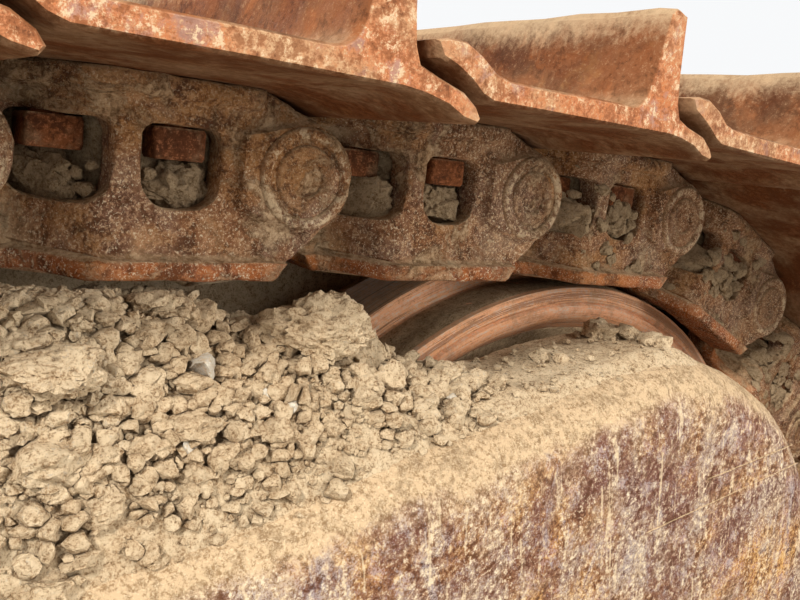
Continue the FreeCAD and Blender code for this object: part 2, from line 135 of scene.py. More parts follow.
def inset(points, depth):                    # outline moved inwards, whichever way it runs
    count = len(points)
    area = sum(points[i - 1][0] * points[i][1] - points[i][0] * points[i - 1][1]
               for i in range(count))
    side = 1 if area > 0 else -1
    result = []
    for i, here in enumerate(points):
        before, after = points[i - 1], points[(i + 1) % count]
        along = Vector((after[0] - before[0], after[1] - before[1])).normalized()
        result.append((here[0] - side * along.y * depth, here[1] + side * along.x * depth))
    return result


def rings(sections, caps=True):     # skin over outlines of as many points each
    count = len(sections[0])
    points = np.array([p for section in sections for p in section], float)
    faces = []
    for s in range(len(sections) - 1):
        for i in range(count):
            a, b = s * count + i, s * count + (i + 1) % count
            faces += [(a, b, b + count), (a, b + count, a + count)]
    if caps:
        for s in (0, len(sections) - 1):
            flat = tessellate_polygon([[Vector(p) for p in sections[s]]])
            faces += [tuple(s * count + k for k in t) for t in flat]
    return points, np.array(faces)


def slab(outline, low, high, ease=0.002, across=1):
    # plate between Y = low and Y = high from an outline in X and Z, its edges eased
    small = inset(outline, ease * 0.7) if ease else outline
    levels = [(low, small)] if ease else []
    step = (high - low - 2 * ease) / across
    levels += [(low + ease + step * i, outline) for i in range(across + 1)]
    levels += [(high, small)] if ease else []
    return rings([[(x, y, z) for x, z in ring] for y, ring in levels])


def lathe(profile, centre=(0.0, 0.0), segments=96):
    # ring or disc about a Y axis from a closed profile of (radius, y)
    sections = []
    for i in range(segments):
        turn = 2 * math.pi * i / segments
        sections.append([(centre[0] + r * math.cos(turn), y, centre[1] + r * math.sin(turn))
                         for r, y in profile])
    sections.append(sections[0])
    return rings(sections, caps=False)


def tube(path, sizes, sides=8):     # rod along a path, with a radius at each of its points
    sections = []
    for i, here in enumerate(path):
        here = Vector(here)
        along = (Vector(path[min(i + 1, len(path) - 1)]) - Vector(path[max(i - 1, 0)])).normalized()
        side = along.orthogonal().normalized() if i == 0 else side
        side = (side - along * side.dot(along)).normalized()
        other = along.cross(side)
        sections.append([tuple(here + sizes[i] * (math.cos(t) * side + math.sin(t) * other))
                         for t in [2 * math.pi * k / sides for k in range(sides)]])
    return rings(sections)


def ball(divisions):
    made = bmesh.new()
    bmesh.ops.create_icosphere(made, subdivisions=divisions, radius=1.0)
    points = np.array([v.co for v in made.verts])
    faces = np.array([[v.index for v in f.verts] for f in made.faces])
    made.free()
    return points, faces


balls = {n: ball(n) for n in (1, 2, 3, 4, 5)}


def clod(size, seed, divisions=2, roughness=0.20, breaks=9):   # broken lump of earth or a stone
    points, faces = balls[divisions]
    rng = np.random.default_rng(seed)
    shift = Vector(rng.uniform(-50, 50, 3))
    points = points.copy()
    for _ in range(breaks):                           # flat breaks
        cut = rng.normal(size=3)
        cut /= np.linalg.norm(cut)
        over = np.maximum(points @ cut - rng.uniform(0.50, 0.86), 0)
        points = points - np.outer(over, cut)
    lump = np.array([1 + roughness * noise.fractal(Vector(p) * 1.7 + shift, 0.45, 2.1, 2 + divisions)
                     for p in points])
    return points * lump[:, None] * np.array(size) * 1.12, faces      # the breaks took some of its size


def meshOf(name, shape):
    points, faces = shape
    mesh = bpy.data.meshes.new(name)
    mesh.vertices.add(len(points))
    mesh.vertices.foreach_set("co", np.asarray(points, np.float32).ravel())
    mesh.loops.add(len(faces) * 3)
    mesh.loops.foreach_set("vertex_index", np.asarray(faces, np.int32).ravel())
    mesh.polygons.add(len(faces))
    mesh.polygons.foreach_set("loop_start", np.arange(len(faces), dtype=np.int32) * 3)
    mesh.update(calc_edges=True)
    mesh.validate()
    return mesh


def shapeOf(mesh):
    points = np.zeros(len(mesh.vertices) * 3)
    mesh.vertices.foreach_get("co", points)
    mesh.calc_loop_triangles()
    faces = np.zeros(len(mesh.loop_triangles) * 3, np.int32)
    mesh.loop_triangles.foreach_get("vertices", faces)
    return points.reshape(-1, 3), faces.reshape(-1, 3)


def worked(shape, *steps):          # the shape after some modifiers, each a type and its settings
    draft = bpy.data.objects.new("draft", meshOf("draft", shape))
    bpy.context.scene.collection.objects.link(draft)
    for kind, settings in steps:
        modifier = draft.modifiers.new(kind, kind)
        for key, value in settings.items():
            setattr(modifier, key, value)
    graph = bpy.context.evaluated_depsgraph_get()
    mesh = bpy.data.meshes.new_from_object(draft.evaluated_get(graph))
    result = shapeOf(mesh)
    bpy.data.meshes.remove(mesh)
    spare = draft.data
    bpy.data.objects.remove(draft)
    bpy.data.meshes.remove(spare)
    return result


def outward(shape):                 # directions in which its points face
    mesh = meshOf("draft", shape)
    found = np.zeros(len(mesh.vertices) * 3)
    mesh.vertex_normals.foreach_get("vector", found)
    bpy.data.meshes.remove(mesh)
    return found.reshape(-1, 3)


def roughened(shape, scale, height, seed=0, octaves=3):
    points, faces = shape
    facing = outward(shape)
    shift = Vector((seed * 7.3, seed * 3.1, seed * 5.7))
    lift = np.array([noise.fractal(Vector(p) * scale + shift, 0.8, 2.0, octaves) for p in points])
    return points + facing * (lift * height)[:, None], faces


def piece(name, shape, finish, body="root", sharp=35, local=None, replaces=()):
    mesh = meshOf(name, shape)
    turned = bmesh.new()
    turned.from_mesh(mesh)
    bmesh.ops.recalc_face_normals(turned, faces=turned.faces)
    turned.to_mesh(mesh)
    turned.free()
    mesh.materials.append(finishes[finish])
    mesh.shade_smooth()
    mesh.set_sharp_from_angle(angle=math.radians(sharp))
    if local is not None:
        own = mesh.attributes.new("ownPlace", "FLOAT_VECTOR", "POINT")
        own.data.foreach_set("vector", np.asarray(local, np.float32).ravel())
    made = bpy.data.objects.new(name, mesh)
    bpy.context.scene.collection.objects.link(made)
    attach(made, body)
    if replaces:
        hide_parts(*replaces)
    print("  ", name, len(mesh.polygons))
    return made


def laid(shape, matrices):          # copies at each place, and where each point is on its own copy
    copies = joined([placed(shape, m) for m in matrices])
    return copies, np.tile(shape[0], (len(matrices), 1))


# Finishes

class Value:                        # a socket that can stand in a formula
    def __init__(self, finish, socket):
        self.finish = finish
        self.socket = socket

    def sum(self, operation, first, second=0.0):
        return self.finish.add("ShaderNodeMath", {"operation": operation}, {0: first, 1: second})

    def __add__(self, other):
        return self.sum("ADD", self, other)

    def __radd__(self, other):
        return self.sum("ADD", other, self)

    def __sub__(self, other):
        return self.sum("SUBTRACT", self, other)

    def __rsub__(self, other):
        return self.sum("SUBTRACT", other, self)

    def __mul__(self, other):
        return self.sum("MULTIPLY", self, other)

    def __rmul__(self, other):
        return self.sum("MULTIPLY", other, self)

    def most(self, other):
        return self.sum("MAXIMUM", self, other)

    def least(self, other):
        return self.sum("MINIMUM", self, other)

    def size(self):
        return self.sum("ABSOLUTE", self)

    def root(self):
        return self.sum("SQRT", self)


class Nodes:                        # a node tree, and the one way in which its nodes are made
    def __init__(self, tree):
        self.tree = tree
        tree.nodes.clear()

    def add(self, kind, settings, inputs, out=0):
        made = self.tree.nodes.new(kind)
        for key, value in settings.items():
            setattr(made, key, value)
        for key, value in inputs.items():
            if isinstance(value, Value):
                self.tree.links.new(value.socket, made.inputs[key])
            else:
                made.inputs[key].default_value = value
        return Value(self, made.outputs[out]) if len(made.outputs) else None


class Finish(Nodes):                # a material
    def __init__(self, name):
        self.material = bpy.data.materials.new(name)
        self.material.use_nodes = True
        super().__init__(self.material.node_tree)

    def place(self):                # where the point is on the whole object, in metres
        return self.add("ShaderNodeTexCoord", {}, {}, "Object")

    def ownPlace(self):             # where it is on its own copy
        return self.add("ShaderNodeAttribute", {"attribute_name": "ownPlace"}, {}, "Vector")

    def axis(self, vector, name):
        return self.add("ShaderNodeSeparateXYZ", {}, {0: vector}, name)

    def facing(self):               # 1 where the surface faces up, -1 where it faces down
        return self.axis(self.add("ShaderNodeNewGeometry", {}, {}, "Normal"), "Z")

    def wearAndHollowShade(self):                 # above 0.5 on outer edges, below it in hollows; drives edge wear and dust, and painted shade in the hollows of the earth
        return self.add("ShaderNodeNewGeometry", {}, {}, "Pointiness")

    def stretched(self, vector, x, y, z):
        return self.add("ShaderNodeVectorMath", {"operation": "MULTIPLY"}, {0: vector, 1: (x, y, z)})

    def turnedPlace(self):          # distance from the copy's own axle, along it, and a little of round it
        own = self.ownPlace()
        across = self.stretched(own, 1, 0, 1)
        radius = self.add("ShaderNodeVectorMath", {"operation": "LENGTH"}, {0: across}, "Value")
        turn = self.axis(own, "X") * 0.025 + self.axis(own, "Z") * 0.015
        return self.add("ShaderNodeCombineXYZ", {}, {0: radius, 1: self.axis(own, "Y"), 2: turn})

    def occlusionShade(self, reach):      # 0 deep between other pieces, 1 out in the open; used to paint shade into the crevices of the earth
        return self.add("ShaderNodeAmbientOcclusion", {"samples": 4}, {"Distance": reach}, "AO")

    def grain(self, vector, scale, detail=4.0, rough=0.6, warp=0.0):
        return self.add("ShaderNodeTexNoise", {}, {"Vector": vector, "Scale": scale, "Detail": detail,
                                                   "Roughness": rough, "Distortion": warp})

    def between(self, value, low, high, start=0.0, stop=1.0):    # soft step from low to high
        return self.add("ShaderNodeMapRange", {"interpolation_type": "SMOOTHSTEP"},
                        {0: value, 1: low, 2: high, 3: start, 4: stop})

    def mixed(self, a, b, share):
        return self.add("ShaderNodeMix", {"data_type": "RGBA"}, {0: share, 6: a, 7: b}, 2)

    def layered(self, colour, *layers):      # each layer is a tone and how much of it shows
        for tone, share in layers:
            colour = self.mixed(colour, tones[tone], share)
        return colour

    def done(self, colour, roughness, height, depth, shine=0.1, metallic=0.0):
        bump = self.add("ShaderNodeBump", {}, {"Strength": 1.0, "Distance": depth, "Height": height})
        shader = self.add("ShaderNodeBsdfPrincipled", {}, {
            "Base Color": colour, "Roughness": roughness, "Metallic": metallic, "Normal": bump,
            "Specular IOR Level": shine})
        self.add("ShaderNodeOutputMaterial", {}, {"Surface": shader})
        return self.material


def tint(red, green, blue):         # from the 0 to 255 that a paint chart gives
    def linear(c):
        c /= 255
        return c / 12.92 if c <= 0.04045 else ((c + 0.055) / 1.055) ** 2.4
    return (linear(red), linear(green), linear(blue), 1.0)


# two of these tones are painted shade: the darkest earth brown for crevices, and the deep rust brown for the
# shoes' undersides
tones = {
    "dust": tint(190, 162, 126), "dustPale": tint(212, 188, 152), "dustMid": tint(158, 134, 102),
    "dustDeep": tint(134, 104, 70), "dustWarm": tint(160, 112, 62), "creviceShade": tint(78, 58, 40),
    "greyStone": tint(172, 162, 146), "palePebble": tint(206, 196, 174), "speck": tint(222, 204, 172),
    "rustDark": tint(66, 36, 18), "shadedUndersideRust": tint(88, 48, 20), "rustUmber": tint(90, 52, 30),
    "rustBrown": tint(124, 72, 40), "rustOrange": tint(170, 98, 52), "rustSalmon": tint(178, 114, 76),
    "rustTan": tint(180, 142, 104), "rustPurple": tint(112, 74, 60), "rustLilac": tint(146, 124, 116),
    "lilacGrey": tint(168, 158, 156), "yellowPaint": tint(218, 168, 76), "bareSteel": tint(196, 178, 158),
    "treadPale": tint(220, 154, 102), "treadBrown": tint(216, 150, 104), "treadDeep": tint(170, 106, 66),
}

print("mixing the finishes")


def linkFinish():                   # flecked dark rust, an orange rail edge, dust films and caked hollows
    f = Finish("oldLinkSteel")
    place, own = f.place(), f.ownPlace()
    low = f.axis(own, "Z")
    fromPin = (low * low + f.axis(own, "X") * f.axis(own, "X")).root()
    collar = f.between(fromPin, 0.0245, 0.0265) * f.between(fromPin, 0.0350, 0.0325)    # round a pin end
    broad = f.grain(place, 9, 4, 0.6, 0.8)
    mottle = f.grain(place, 48, 6, 0.7, 0.4)
    fine = f.grain(place, 260, 5, 0.8, 0.5)
    flecks = f.grain(place, 640, 3, 0.75, 0.6)
    patches = f.between(f.grain(place, 15, 5, 0.65, 0.9), 0.44, 0.58)
    flecked = f.between(broad + mottle * 0.4, 0.60, 0.82)
    rail = f.between(low + mottle * 0.010, -0.046, -0.055)
    hollow = f.between(f.wearAndHollowShade() + fine * 0.03, 0.505, 0.46)
    cake = f.between(f.grain(place, 20, 6, 0.72, 0.6) + fine * 0.2 - broad * 0.25, 0.50, 0.60)
    colour = f.layered(
        f.mixed(tones["rustBrown"], tones["rustPurple"], patches),
        ("rustDark", f.between(mottle * 0.6 + fine * 0.4, 0.50, 0.42) * 0.85),
        ("dustWarm", f.between(broad, 0.53, 0.42)
         * f.between(mottle * 0.5 + fine * 0.5, 0.38, 0.56) * 0.8),
        ("rustOrange", f.between(mottle * 0.5 + fine * 0.5, 0.53, 0.61) * 0.5),
        ("rustUmber", f.between(fine * 0.5 + flecks * 0.5, 0.47, 0.42) * 0.7),
        ("rustOrange", rail * (0.15 + 0.6 * f.between(mottle * 0.6 + fine * 0.4, 0.42, 0.56))),
        ("rustTan", f.between(fine * 0.6 + flecks * 0.4, 0.51, 0.56)
         * (0.40 + 0.55 * flecked) * (1 - rail * 0.5)),
        ("speck", f.between(flecks, 0.57, 0.63) * (0.35 + 0.6 * flecked)),
        ("dustPale", collar * f.between(fine * 0.5 + mottle * 0.5, 0.50, 0.56) * 0.8),
        ("rustTan", f.between(f.wearAndHollowShade() + fine * 0.05, 0.565, 0.63) * 0.5))
    dust = (hollow * 0.75 + cake * 0.6 + f.between(f.facing(), 0.3, 0.9) * 0.8).least(1.0)
    shade = f.mixed(tones["dustDeep"], tones["dust"], f.between(fine * 0.6 + mottle * 0.4, 0.38, 0.60))
    film = f.between(mottle * 0.5 + broad * 0.5, 0.42, 0.60) * 0.22 + 0.06
    colour = f.mixed(colour, shade, (dust * 0.85 + film * (1 - rail)).least(1.0))
    height = mottle * 0.5 + fine * 0.5 + flecks * 0.25 + cake * 0.4
    return f.done(colour, f.between(mottle, 0.3, 0.7, 0.74, 0.95), height, 0.0022)


def shoeFinish():                   # tan and orange rust on the cut ends, brown grousers with dusty tops, painted shade on the undersides
    f = Finish("wornShoeSteel")
    place, own = f.place(), f.ownPlace()
    end = f.between(f.axis(own, "Y").size(), 0.2785, 0.2798)       # the cut ends
    raised = f.between(f.axis(own, "Z"), 0.072, 0.110)             # the grouser
    broad = f.grain(place, 7, 5, 0.6, 1.2)
    mottle = f.grain(place, 42, 6, 0.7, 0.5)
    fine = f.grain(place, 190, 5, 0.75)
    flecks = f.grain(place, 600, 3, 0.75, 0.6)
    drawn = f.grain(place, 26, 7, 0.78, 0.3)
    rolled = f.layered(
        f.mixed(tones["rustBrown"], tones["rustUmber"], f.between(broad, 0.44, 0.58)),
        ("rustDark", f.between(drawn * 0.5 + fine * 0.5, 0.50, 0.40) * 0.6),
        ("rustOrange", f.between(mottle, 0.53, 0.66) * 0.3),
        ("dustWarm", f.between(drawn, 0.54, 0.66) * (0.35 - raised * 0.2)),
        ("rustTan", f.between(fine * 0.5 + flecks * 0.5, 0.55, 0.60) * 0.3),
        ("dust", f.between(f.axis(own, "Z") + mottle * 0.04 + fine * 0.03, 0.142, 0.168) * 0.75))
    cut = f.layered(
        f.mixed(tones["rustSalmon"], tones["rustTan"], f.between(broad, 0.42, 0.56)),
        ("rustOrange", f.between(mottle * 0.6 + fine * 0.4, 0.46, 0.58) * 0.75),
        ("rustLilac", f.between(mottle * 0.5 + drawn * 0.5, 0.52, 0.60) * 0.6),
        ("rustPurple", f.between(broad + mottle * 0.6, 0.82, 0.92) * 0.6),
        ("rustBrown", f.between(fine * 0.6 + mottle * 0.4, 0.52, 0.45) * 0.75),
        ("rustUmber", f.between(fine * 0.6 + mottle * 0.4, 0.44, 0.36) * 0.8),
        ("rustTan", f.between(flecks * 0.4 + fine * 0.6, 0.51, 0.57) * 0.7),
        ("dustPale", f.between(fine * 0.7 + drawn * 0.3, 0.55, 0.60) * 0.6))
    colour = f.mixed(rolled, cut, end)
    # painted shade: faces turned down are darkened towards a deep brown
    under = f.between(f.facing(), 0.05, -0.7)
    colour = f.mixed(colour, tones["shadedUndersideRust"], under * (0.60 + 0.35 * f.between(fine, 0.56, 0.44)))
    settled = f.between(f.facing(), 0.35, 0.95)
    cake = f.between(f.grain(place, 16, 6, 0.68, 0.4), 0.40, 0.60)
    dust = under * 0.22 * cake + settled * (0.05 + 0.35 * cake) + cake * 0.08 * (1 - end)
    shade = f.mixed(tones["dustDeep"], tones["dust"], f.between(fine * 0.5 + mottle * 0.5, 0.36, 0.62))
    colour = f.mixed(colour, shade, dust.least(0.92))
    bright = f.between(f.wearAndHollowShade() + fine * 0.05, 0.575, 0.65)
    colour = f.mixed(colour, tones["rustTan"], bright * f.between(mottle, 0.42, 0.58) * 0.7)
    height = mottle * 0.45 + fine * 0.45 + flecks * 0.2 + cake * 0.3
    return f.done(colour, f.between(mottle, 0.3, 0.7, 0.68, 0.92), height, 0.0018)


def armFinish():                    # paint worn to rust in fine flecks and soft runs, dust from above
    f = Finish("streakedFramePaint")
    place = f.place()
    broad = f.grain(place, 6.5, 5, 0.6, 0.8)
    bands = f.grain(f.stretched(place, 1, 1, 0.16), 26, 5, 0.65, 0.7)
    runs = f.grain(f.stretched(place, 1, 1, 0.07), 120, 4, 0.65, 0.4)
    mottle = f.grain(place, 55, 6, 0.75, 0.4)
    fine = f.grain(place, 210, 5, 0.78)
    flecks = f.grain(place, 640, 3, 0.75, 0.6)
    lilac = f.grain(f.stretched(place, 1, 1, 0.55), 19, 6, 0.72, 0.8)
    run = f.between(bands * 0.7 + runs * 0.3, 0.44, 0.56)
    colour = f.layered(
        f.mixed(tones["rustPurple"], tones["dustWarm"], f.between(broad + bands * 0.3, 0.58, 0.80)),
        ("rustLilac", f.between(mottle * 0.5 + bands * 0.5, 0.47, 0.57) * 0.65),
        ("lilacGrey", f.between(lilac, 0.57, 0.65) * 0.6),
        ("rustOrange", f.between(mottle * 0.6 + broad * 0.4, 0.53, 0.59) * 0.6),
        ("dustMid", run * f.between(mottle, 0.44, 0.58) * 0.65),
        ("yellowPaint", f.between(broad * 0.40 + mottle * 0.2 + fine * 0.40, 0.53, 0.59) * 0.55),
        ("rustDark", f.between(fine * 0.6 + mottle * 0.4, 0.475, 0.42) * 0.85),
        ("rustUmber", f.between(flecks * 0.5 + fine * 0.5, 0.48, 0.43) * 0.7),
        ("dust", f.between(mottle * 0.3 + fine * 0.7, 0.51, 0.57) * (0.20 + 0.40 * run)),
        ("lilacGrey", f.between(flecks * 0.5 + mottle * 0.5, 0.52, 0.57) * 0.5),
        ("speck", f.between(flecks * 0.35 + fine * 0.65, 0.535, 0.575) * (0.35 + 0.5 * run)),
        ("dustPale", f.between(runs * 0.75 + fine * 0.25, 0.565, 0.62) * 0.6))
    top = float(railHigh.z)
    settled = f.between(f.axis(place, "Z") + broad * 0.20 + bands * 0.10 + mottle * 0.04,
                        top + 0.105, top + 0.190)
    upward = f.between(f.facing() + mottle * 0.3, 0.35, 0.85)
    cake = f.between(f.grain(place, 20, 6, 0.66, 0.5), 0.48, 0.62)
    dust = (settled * 0.9 + upward + cake * 0.25).least(1.0) * f.between(fine + mottle, 0.62, 0.98, 0.60, 1.0)
    shade = f.mixed(tones["dustMid"], tones["dust"], f.between(fine * 0.5 + mottle * 0.5, 0.44, 0.54))
    shade = f.mixed(shade, tones["dustDeep"], f.between(flecks * 0.5 + fine * 0.5, 0.49, 0.42) * 0.75)
    shade = f.mixed(shade, tones["dustPale"], f.between(flecks, 0.56, 0.64) * 0.7)
    colour = f.mixed(colour, shade, dust)
    height = mottle * 0.4 + fine * 0.5 + flecks * 0.3 + bands * 0.1
    return f.done(colour, f.between(mottle, 0.3, 0.7, 0.70, 0.95), height, 0.0019)


def earthFinish(name, pale, tone, deep, depth=0.004):      # crumbs of all sizes, with painted shade between them, in hollows and where other pieces close in
    f = Finish(name)
    place = f.place()
    broad = f.grain(place, 9, 5, 0.6)
    crumbs = f.grain(place, 130, 6, 0.85, 0.3)
    fine = f.grain(place, 480, 4, 0.85)
    bits = f.grain(place, 300, 2, 0.5, 1.4)
    # painted shade: dark gaps between the crumbs
    shadedGaps = f.between(crumbs * 0.5 + bits * 0.5, 0.455, 0.385)
    colour = f.layered(
        f.mixed(tones[tone], tones[pale], f.between(broad * 0.35 + crumbs * 0.65, 0.42, 0.58)),
        ("greyStone", f.between(bits, 0.60, 0.68) * f.between(broad, 0.44, 0.60) * 0.5),
        (pale, f.between(fine, 0.54, 0.60) * 0.7),
        (deep, f.between(crumbs * 0.3 + fine * 0.7, 0.49, 0.42) * 0.75),
        # painted shade in the gaps between crumbs, in hollows and where other pieces close in
        (deep, shadedGaps * 0.6),
        ("creviceShade", shadedGaps * f.between(fine, 0.52, 0.40) * 0.6),
        ("creviceShade", f.between(f.wearAndHollowShade() + fine * 0.04, 0.505, 0.455) * 0.6),
        ("creviceShade", f.between(f.occlusionShade(0.010) + fine * 0.1, 0.60, 0.20) * 0.75))
    return f.done(colour, 0.95, crumbs * 0.5 + fine * 0.35 + bits * 0.25, depth, 0.08)


def rustyFinish(name, base, patch, speck, dusty, specks=0.5, worn=0.5):     # castings, bolts and plates
    f = Finish(name)
    place = f.place()
    patches = f.between(f.grain(place, 11, 6, 0.68, 0.6), 0.42, 0.6)
    mottle = f.grain(place, 60, 6, 0.72)
    fine = f.grain(place, 240, 4, 0.75)
    flecks = f.grain(place, 640, 3, 0.75, 0.6)
    cake = f.between(f.grain(place, 22, 6, 0.68), 0.48, 0.66)
    settled = f.between(f.facing() + mottle * 0.5, 0.45, 1.1) + cake * 0.6
    colour = f.layered(
        f.mixed(tones[base], tones[patch], patches),
        ("rustDark", f.between(mottle * 0.6 + fine * 0.4, 0.50, 0.41) * 0.75),
        (speck, f.between(fine * 0.5 + flecks * 0.5, 0.53, 0.58) * specks),
        ("rustTan", f.between(f.wearAndHollowShade() + fine * 0.04, 0.56, 0.62) * worn))
    shade = f.mixed(tones["dustDeep"], tones["dust"], f.between(fine * 0.5 + mottle * 0.5, 0.38, 0.60))
    colour = f.mixed(colour, shade, f.between(settled * dusty, 0.05, 0.8))
    height = mottle * 0.5 + fine * 0.5 + flecks * 0.2
    return f.done(colour, f.between(mottle, 0.3, 0.7, 0.72, 0.95), height, 0.0016)


def runningFinish(name, base, deep, dusty):   # steel rubbed smooth as it turns, rusted again in fine rings
    f = Finish(name)
    place, turned = f.place(), f.turnedPlace()
    ringed = f.grain(turned, 700, 5, 0.8)
    wide = f.grain(f.stretched(turned, 1, 1, 0.6), 90, 4, 0.65)
    mottle = f.grain(place, 34, 6, 0.72, 0.4)
    fine = f.grain(place, 300, 4, 0.78)
    colour = f.layered(
        f.mixed(tones[base], tones[deep], f.between(wide * 0.7 + mottle * 0.3, 0.44, 0.58)),
        ("rustOrange", f.between(mottle * 0.6 + wide * 0.4, 0.50, 0.62) * 0.5),
        ("rustBrown", f.between(ringed * 0.6 + fine * 0.4, 0.47, 0.40) * 0.6),
        ("bareSteel", f.between(ringed * 0.6 + fine * 0.4, 0.51, 0.57) * 0.7),
        ("rustUmber", f.between(wide * 0.5 + ringed * 0.5, 0.47, 0.42) * 0.6),
        ("speck", f.between(f.wearAndHollowShade() + ringed * 0.04, 0.55, 0.60) * 0.6),
        ("dustMid", f.between(mottle + wide * 0.3, 0.64, 0.80) * dusty),
        ("dust", f.between(f.facing() + fine * 0.3, 0.75, 1.15) * dusty * 0.8))
    height = ringed * 0.6 + fine * 0.4 + mottle * 0.3
    return f.done(colour, f.between(mottle, 0.3, 0.7, 0.55, 0.85), height, 0.0009,
                  0.5, f.between(ringed, 0.58, 0.72, 0.0, 0.2))


finishes = {
    "link": linkFinish(),
    "shoe": shoeFinish(),
    "arm": armFinish(),
    "earth": earthFinish("dryEarth", "dustPale", "dust", "dustDeep"),
    "caked": earthFinish("cakedEarth", "dust", "dustMid", "dustDeep", 0.003),
    "packed": earthFinish("packedEarth", "dust", "dustMid", "dustDeep", 0.007),
    "stone": earthFinish("paleStone", "palePebble", "greyStone", "dust", 0.001),
    "steel": rustyFinish("rustedSteel", "rustBrown", "rustDark", "rustSalmon", 0.55),
    "bolt": rustyFinish("rustedBolts", "rustBrown", "rustUmber", "rustSalmon", 0.5, worn=0.0),
    "casting": rustyFinish("rustedCasting", "rustBrown", "rustUmber", "rustTan", 0.6),
    "frame": rustyFinish("faintFramePaint", "rustPurple", "rustLilac", "dustPale", 0.8, 0.55),
    "idler": runningFinish("idlerRunningSurface", "treadPale", "treadBrown", 0.35),
    "roller": runningFinish("rollerRunningSurface", "treadBrown", "rustUmber", 0.6),
    "teeth": runningFinish("sprocketTeeth", "treadDeep", "rustUmber", 0.6),
    "bushing": runningFinish("bushingSurface", "treadBrown", "rustBrown", 0.6),
}


# Chain: one link of each kind, laid along the pins. X runs from the rear pin to the front one.

chainLink = {
    "innerFace": 0.052,             # chain's middle to a link's inner face at its bushing
    "plate": 0.036,
    "offset": 0.044,                # the front end stands this much further out
    "offsetFrom": 0.042, "offsetTo": 0.086,
    "railDepth": 0.069, "railStart": 0.038, "railStop": 0.197,
    "seat": 0.0535, "seatFrom": 0.033, "seatTo": 0.184,
    "web": (0.005, 0.030), "bossRadius": 0.037, "bushingBoss": 0.043,
    "windows": (0.065, 0.133), "windowHalf": 0.0255, "windowTop": 0.025, "windowFoot": -0.026,
    "voxel": 0.0022, "nearTriangles": 3600, "farTriangles": 1500,
}


def linkMatrices(mirror=1):
    result = []
    for i, rear in enumerate(pins):
        front = pins[(i + 1) % len(pins)]
        along = Vector((front[0] - rear[0], 0, front[1] - rear[1])).normalized()
        up = Vector((-along.z, 0, along.x))
        m = Matrix((along, Vector((0, mirror, 0)), up)).transposed().to_4x4()
        result.append(Matrix.Translation((rear[0], chainY, rear[1])) @ m)
    return result


onLinks = linkMatrices()
onLinksOut = linkMatrices(-1)       # Y runs outboard


def linkSide(points):               # how far out a link stands at each distance from its rear pin
    c = chainLink
    t = np.clip((points[:, 0] - c["offsetFrom"]) / (c["offsetTo"] - c["offsetFrom"]), 0, 1)
    out = points.copy()
    out[:, 1] += c["innerFace"] + c["offset"] * t * t * (3 - 2 * t)
    return out


def windowOutline(x):
    c = chainLink
    half, top, foot = c["windowHalf"], c["windowTop"], c["windowFoot"]
    return eased([(x - half, top, 0.009), (x + half, top, 0.009),
                  (x + half, foot, 0.026), (x - half, foot, 0.026)], 0.01, 6)


def holedPlate(outline, holes, low, high):      # flat plate between Y = low and Y = high
    loops = [outline] + holes
    points, starts = [], []
    for y in (low, high):
        for loop in loops:
            starts.append(len(points))
            points += [(x, y, z) for x, z in loop]
    flat = tessellate_polygon([[Vector((x, z, 0)) for x, z in loop] for loop in loops])
    count = len(points) // 2
    faces = [tuple(t) for t in flat] + [tuple(count + k for k in reversed(t)) for t in flat]
    for loop, start in zip(loops, starts):
        for i in range(len(loop)):
            a, b = start + i, start + (i + 1) % len(loop)
            faces += [(a, b, b + count), (a, b + count, a + count)]
    return np.array(points), np.array(faces)


def linkBody(seed, target):
    c = chainLink
    d, front = c["railDepth"], pitch
    inner, outer = c["web"]
    silhouette = eased([
        (c["railStart"], -d, 0.004), (c["railStop"], -d, 0.006), (front + 0.020, -0.036, 0.02),
        (front + 0.034, 0.0, 0.02), (front + 0.018, 0.034, 0.03), (c["seatTo"], c["seat"], 0.006),
        (c["seatFrom"], c["seat"], 0.006), (-0.018, 0.036, 0.03), (-0.038, 0.0, 0.03),
        (-0.018, -0.040, 0.03)], 0.01, 4)
    holes = [windowOutline(x) for x in c["windows"]]
    full = c["plate"]
    parts = [
        holedPlate(silhouette, holes, inner, outer),
        slab(eased([(c["railStart"] - 0.001, -d), (c["railStop"] + 0.001, -d),
                    (c["railStop"] + 0.012, -d + 0.013), (c["railStart"] - 0.012, -d + 0.013)], 0.003),
             -0.003, full + 0.003, 0.002),
        slab(eased([(c["seatFrom"] + 0.004, 0.040), (c["seatTo"] - 0.004, 0.040),
                    (c["seatTo"], c["seat"]), (c["seatFrom"], c["seat"])], 0.003),
             -0.005, full + 0.001, 0.002),
        slab(arc((front, 0), c["bossRadius"], -90, 90, 18)
             + eased([(front - 0.046, 0.030), (front - 0.046, -0.028)], 0.006), 0.0, full, 0.0015),
        slab(arc((0, 0), c["bushingBoss"], 0, 350, 35), 0.0, full - 0.001, 0.002),
    ]
    solid = worked(joined(parts), ("REMESH", {"mode": "VOXEL", "voxel_size": c["voxel"]}),
                   ("SMOOTH", {"factor": 0.5, "iterations": 2}))
    solid = roughened(solid, 45, 0.0009, seed)
    solid = worked(solid, ("DECIMATE", {"ratio": min(1.0, target / len(solid[1]))}))
    return linkSide(solid[0]), solid[1]


print("forging the links")
nearLink = linkBody(3, chainLink["nearTriangles"])
farLink = linkBody(8, chainLink["farTriangles"])
for side, name, body in ((onLinksOut, "track_links_outboard", nearLink),
                         (onLinks, "track_links_inboard", farLink)):
    shape, own = laid(body, side)
    piece(name.replace("track_links", "chainLinks"), shape, "link", local=own, sharp=42, replaces=[name])


chainPin = {
    "radius": 0.0235, "plugRadius": 0.011, "groove": 0.0258, "face": 0.1325,
    "bushingRadius": 0.0326, "bushingHalf": 0.094, "sleeve": 0.0235,
}


def both(profile):                  # a profile for Y above the middle, and its mirror image below
    return profile + [(p[0], -p[1]) + tuple(p[2:]) for p in reversed(profile)]


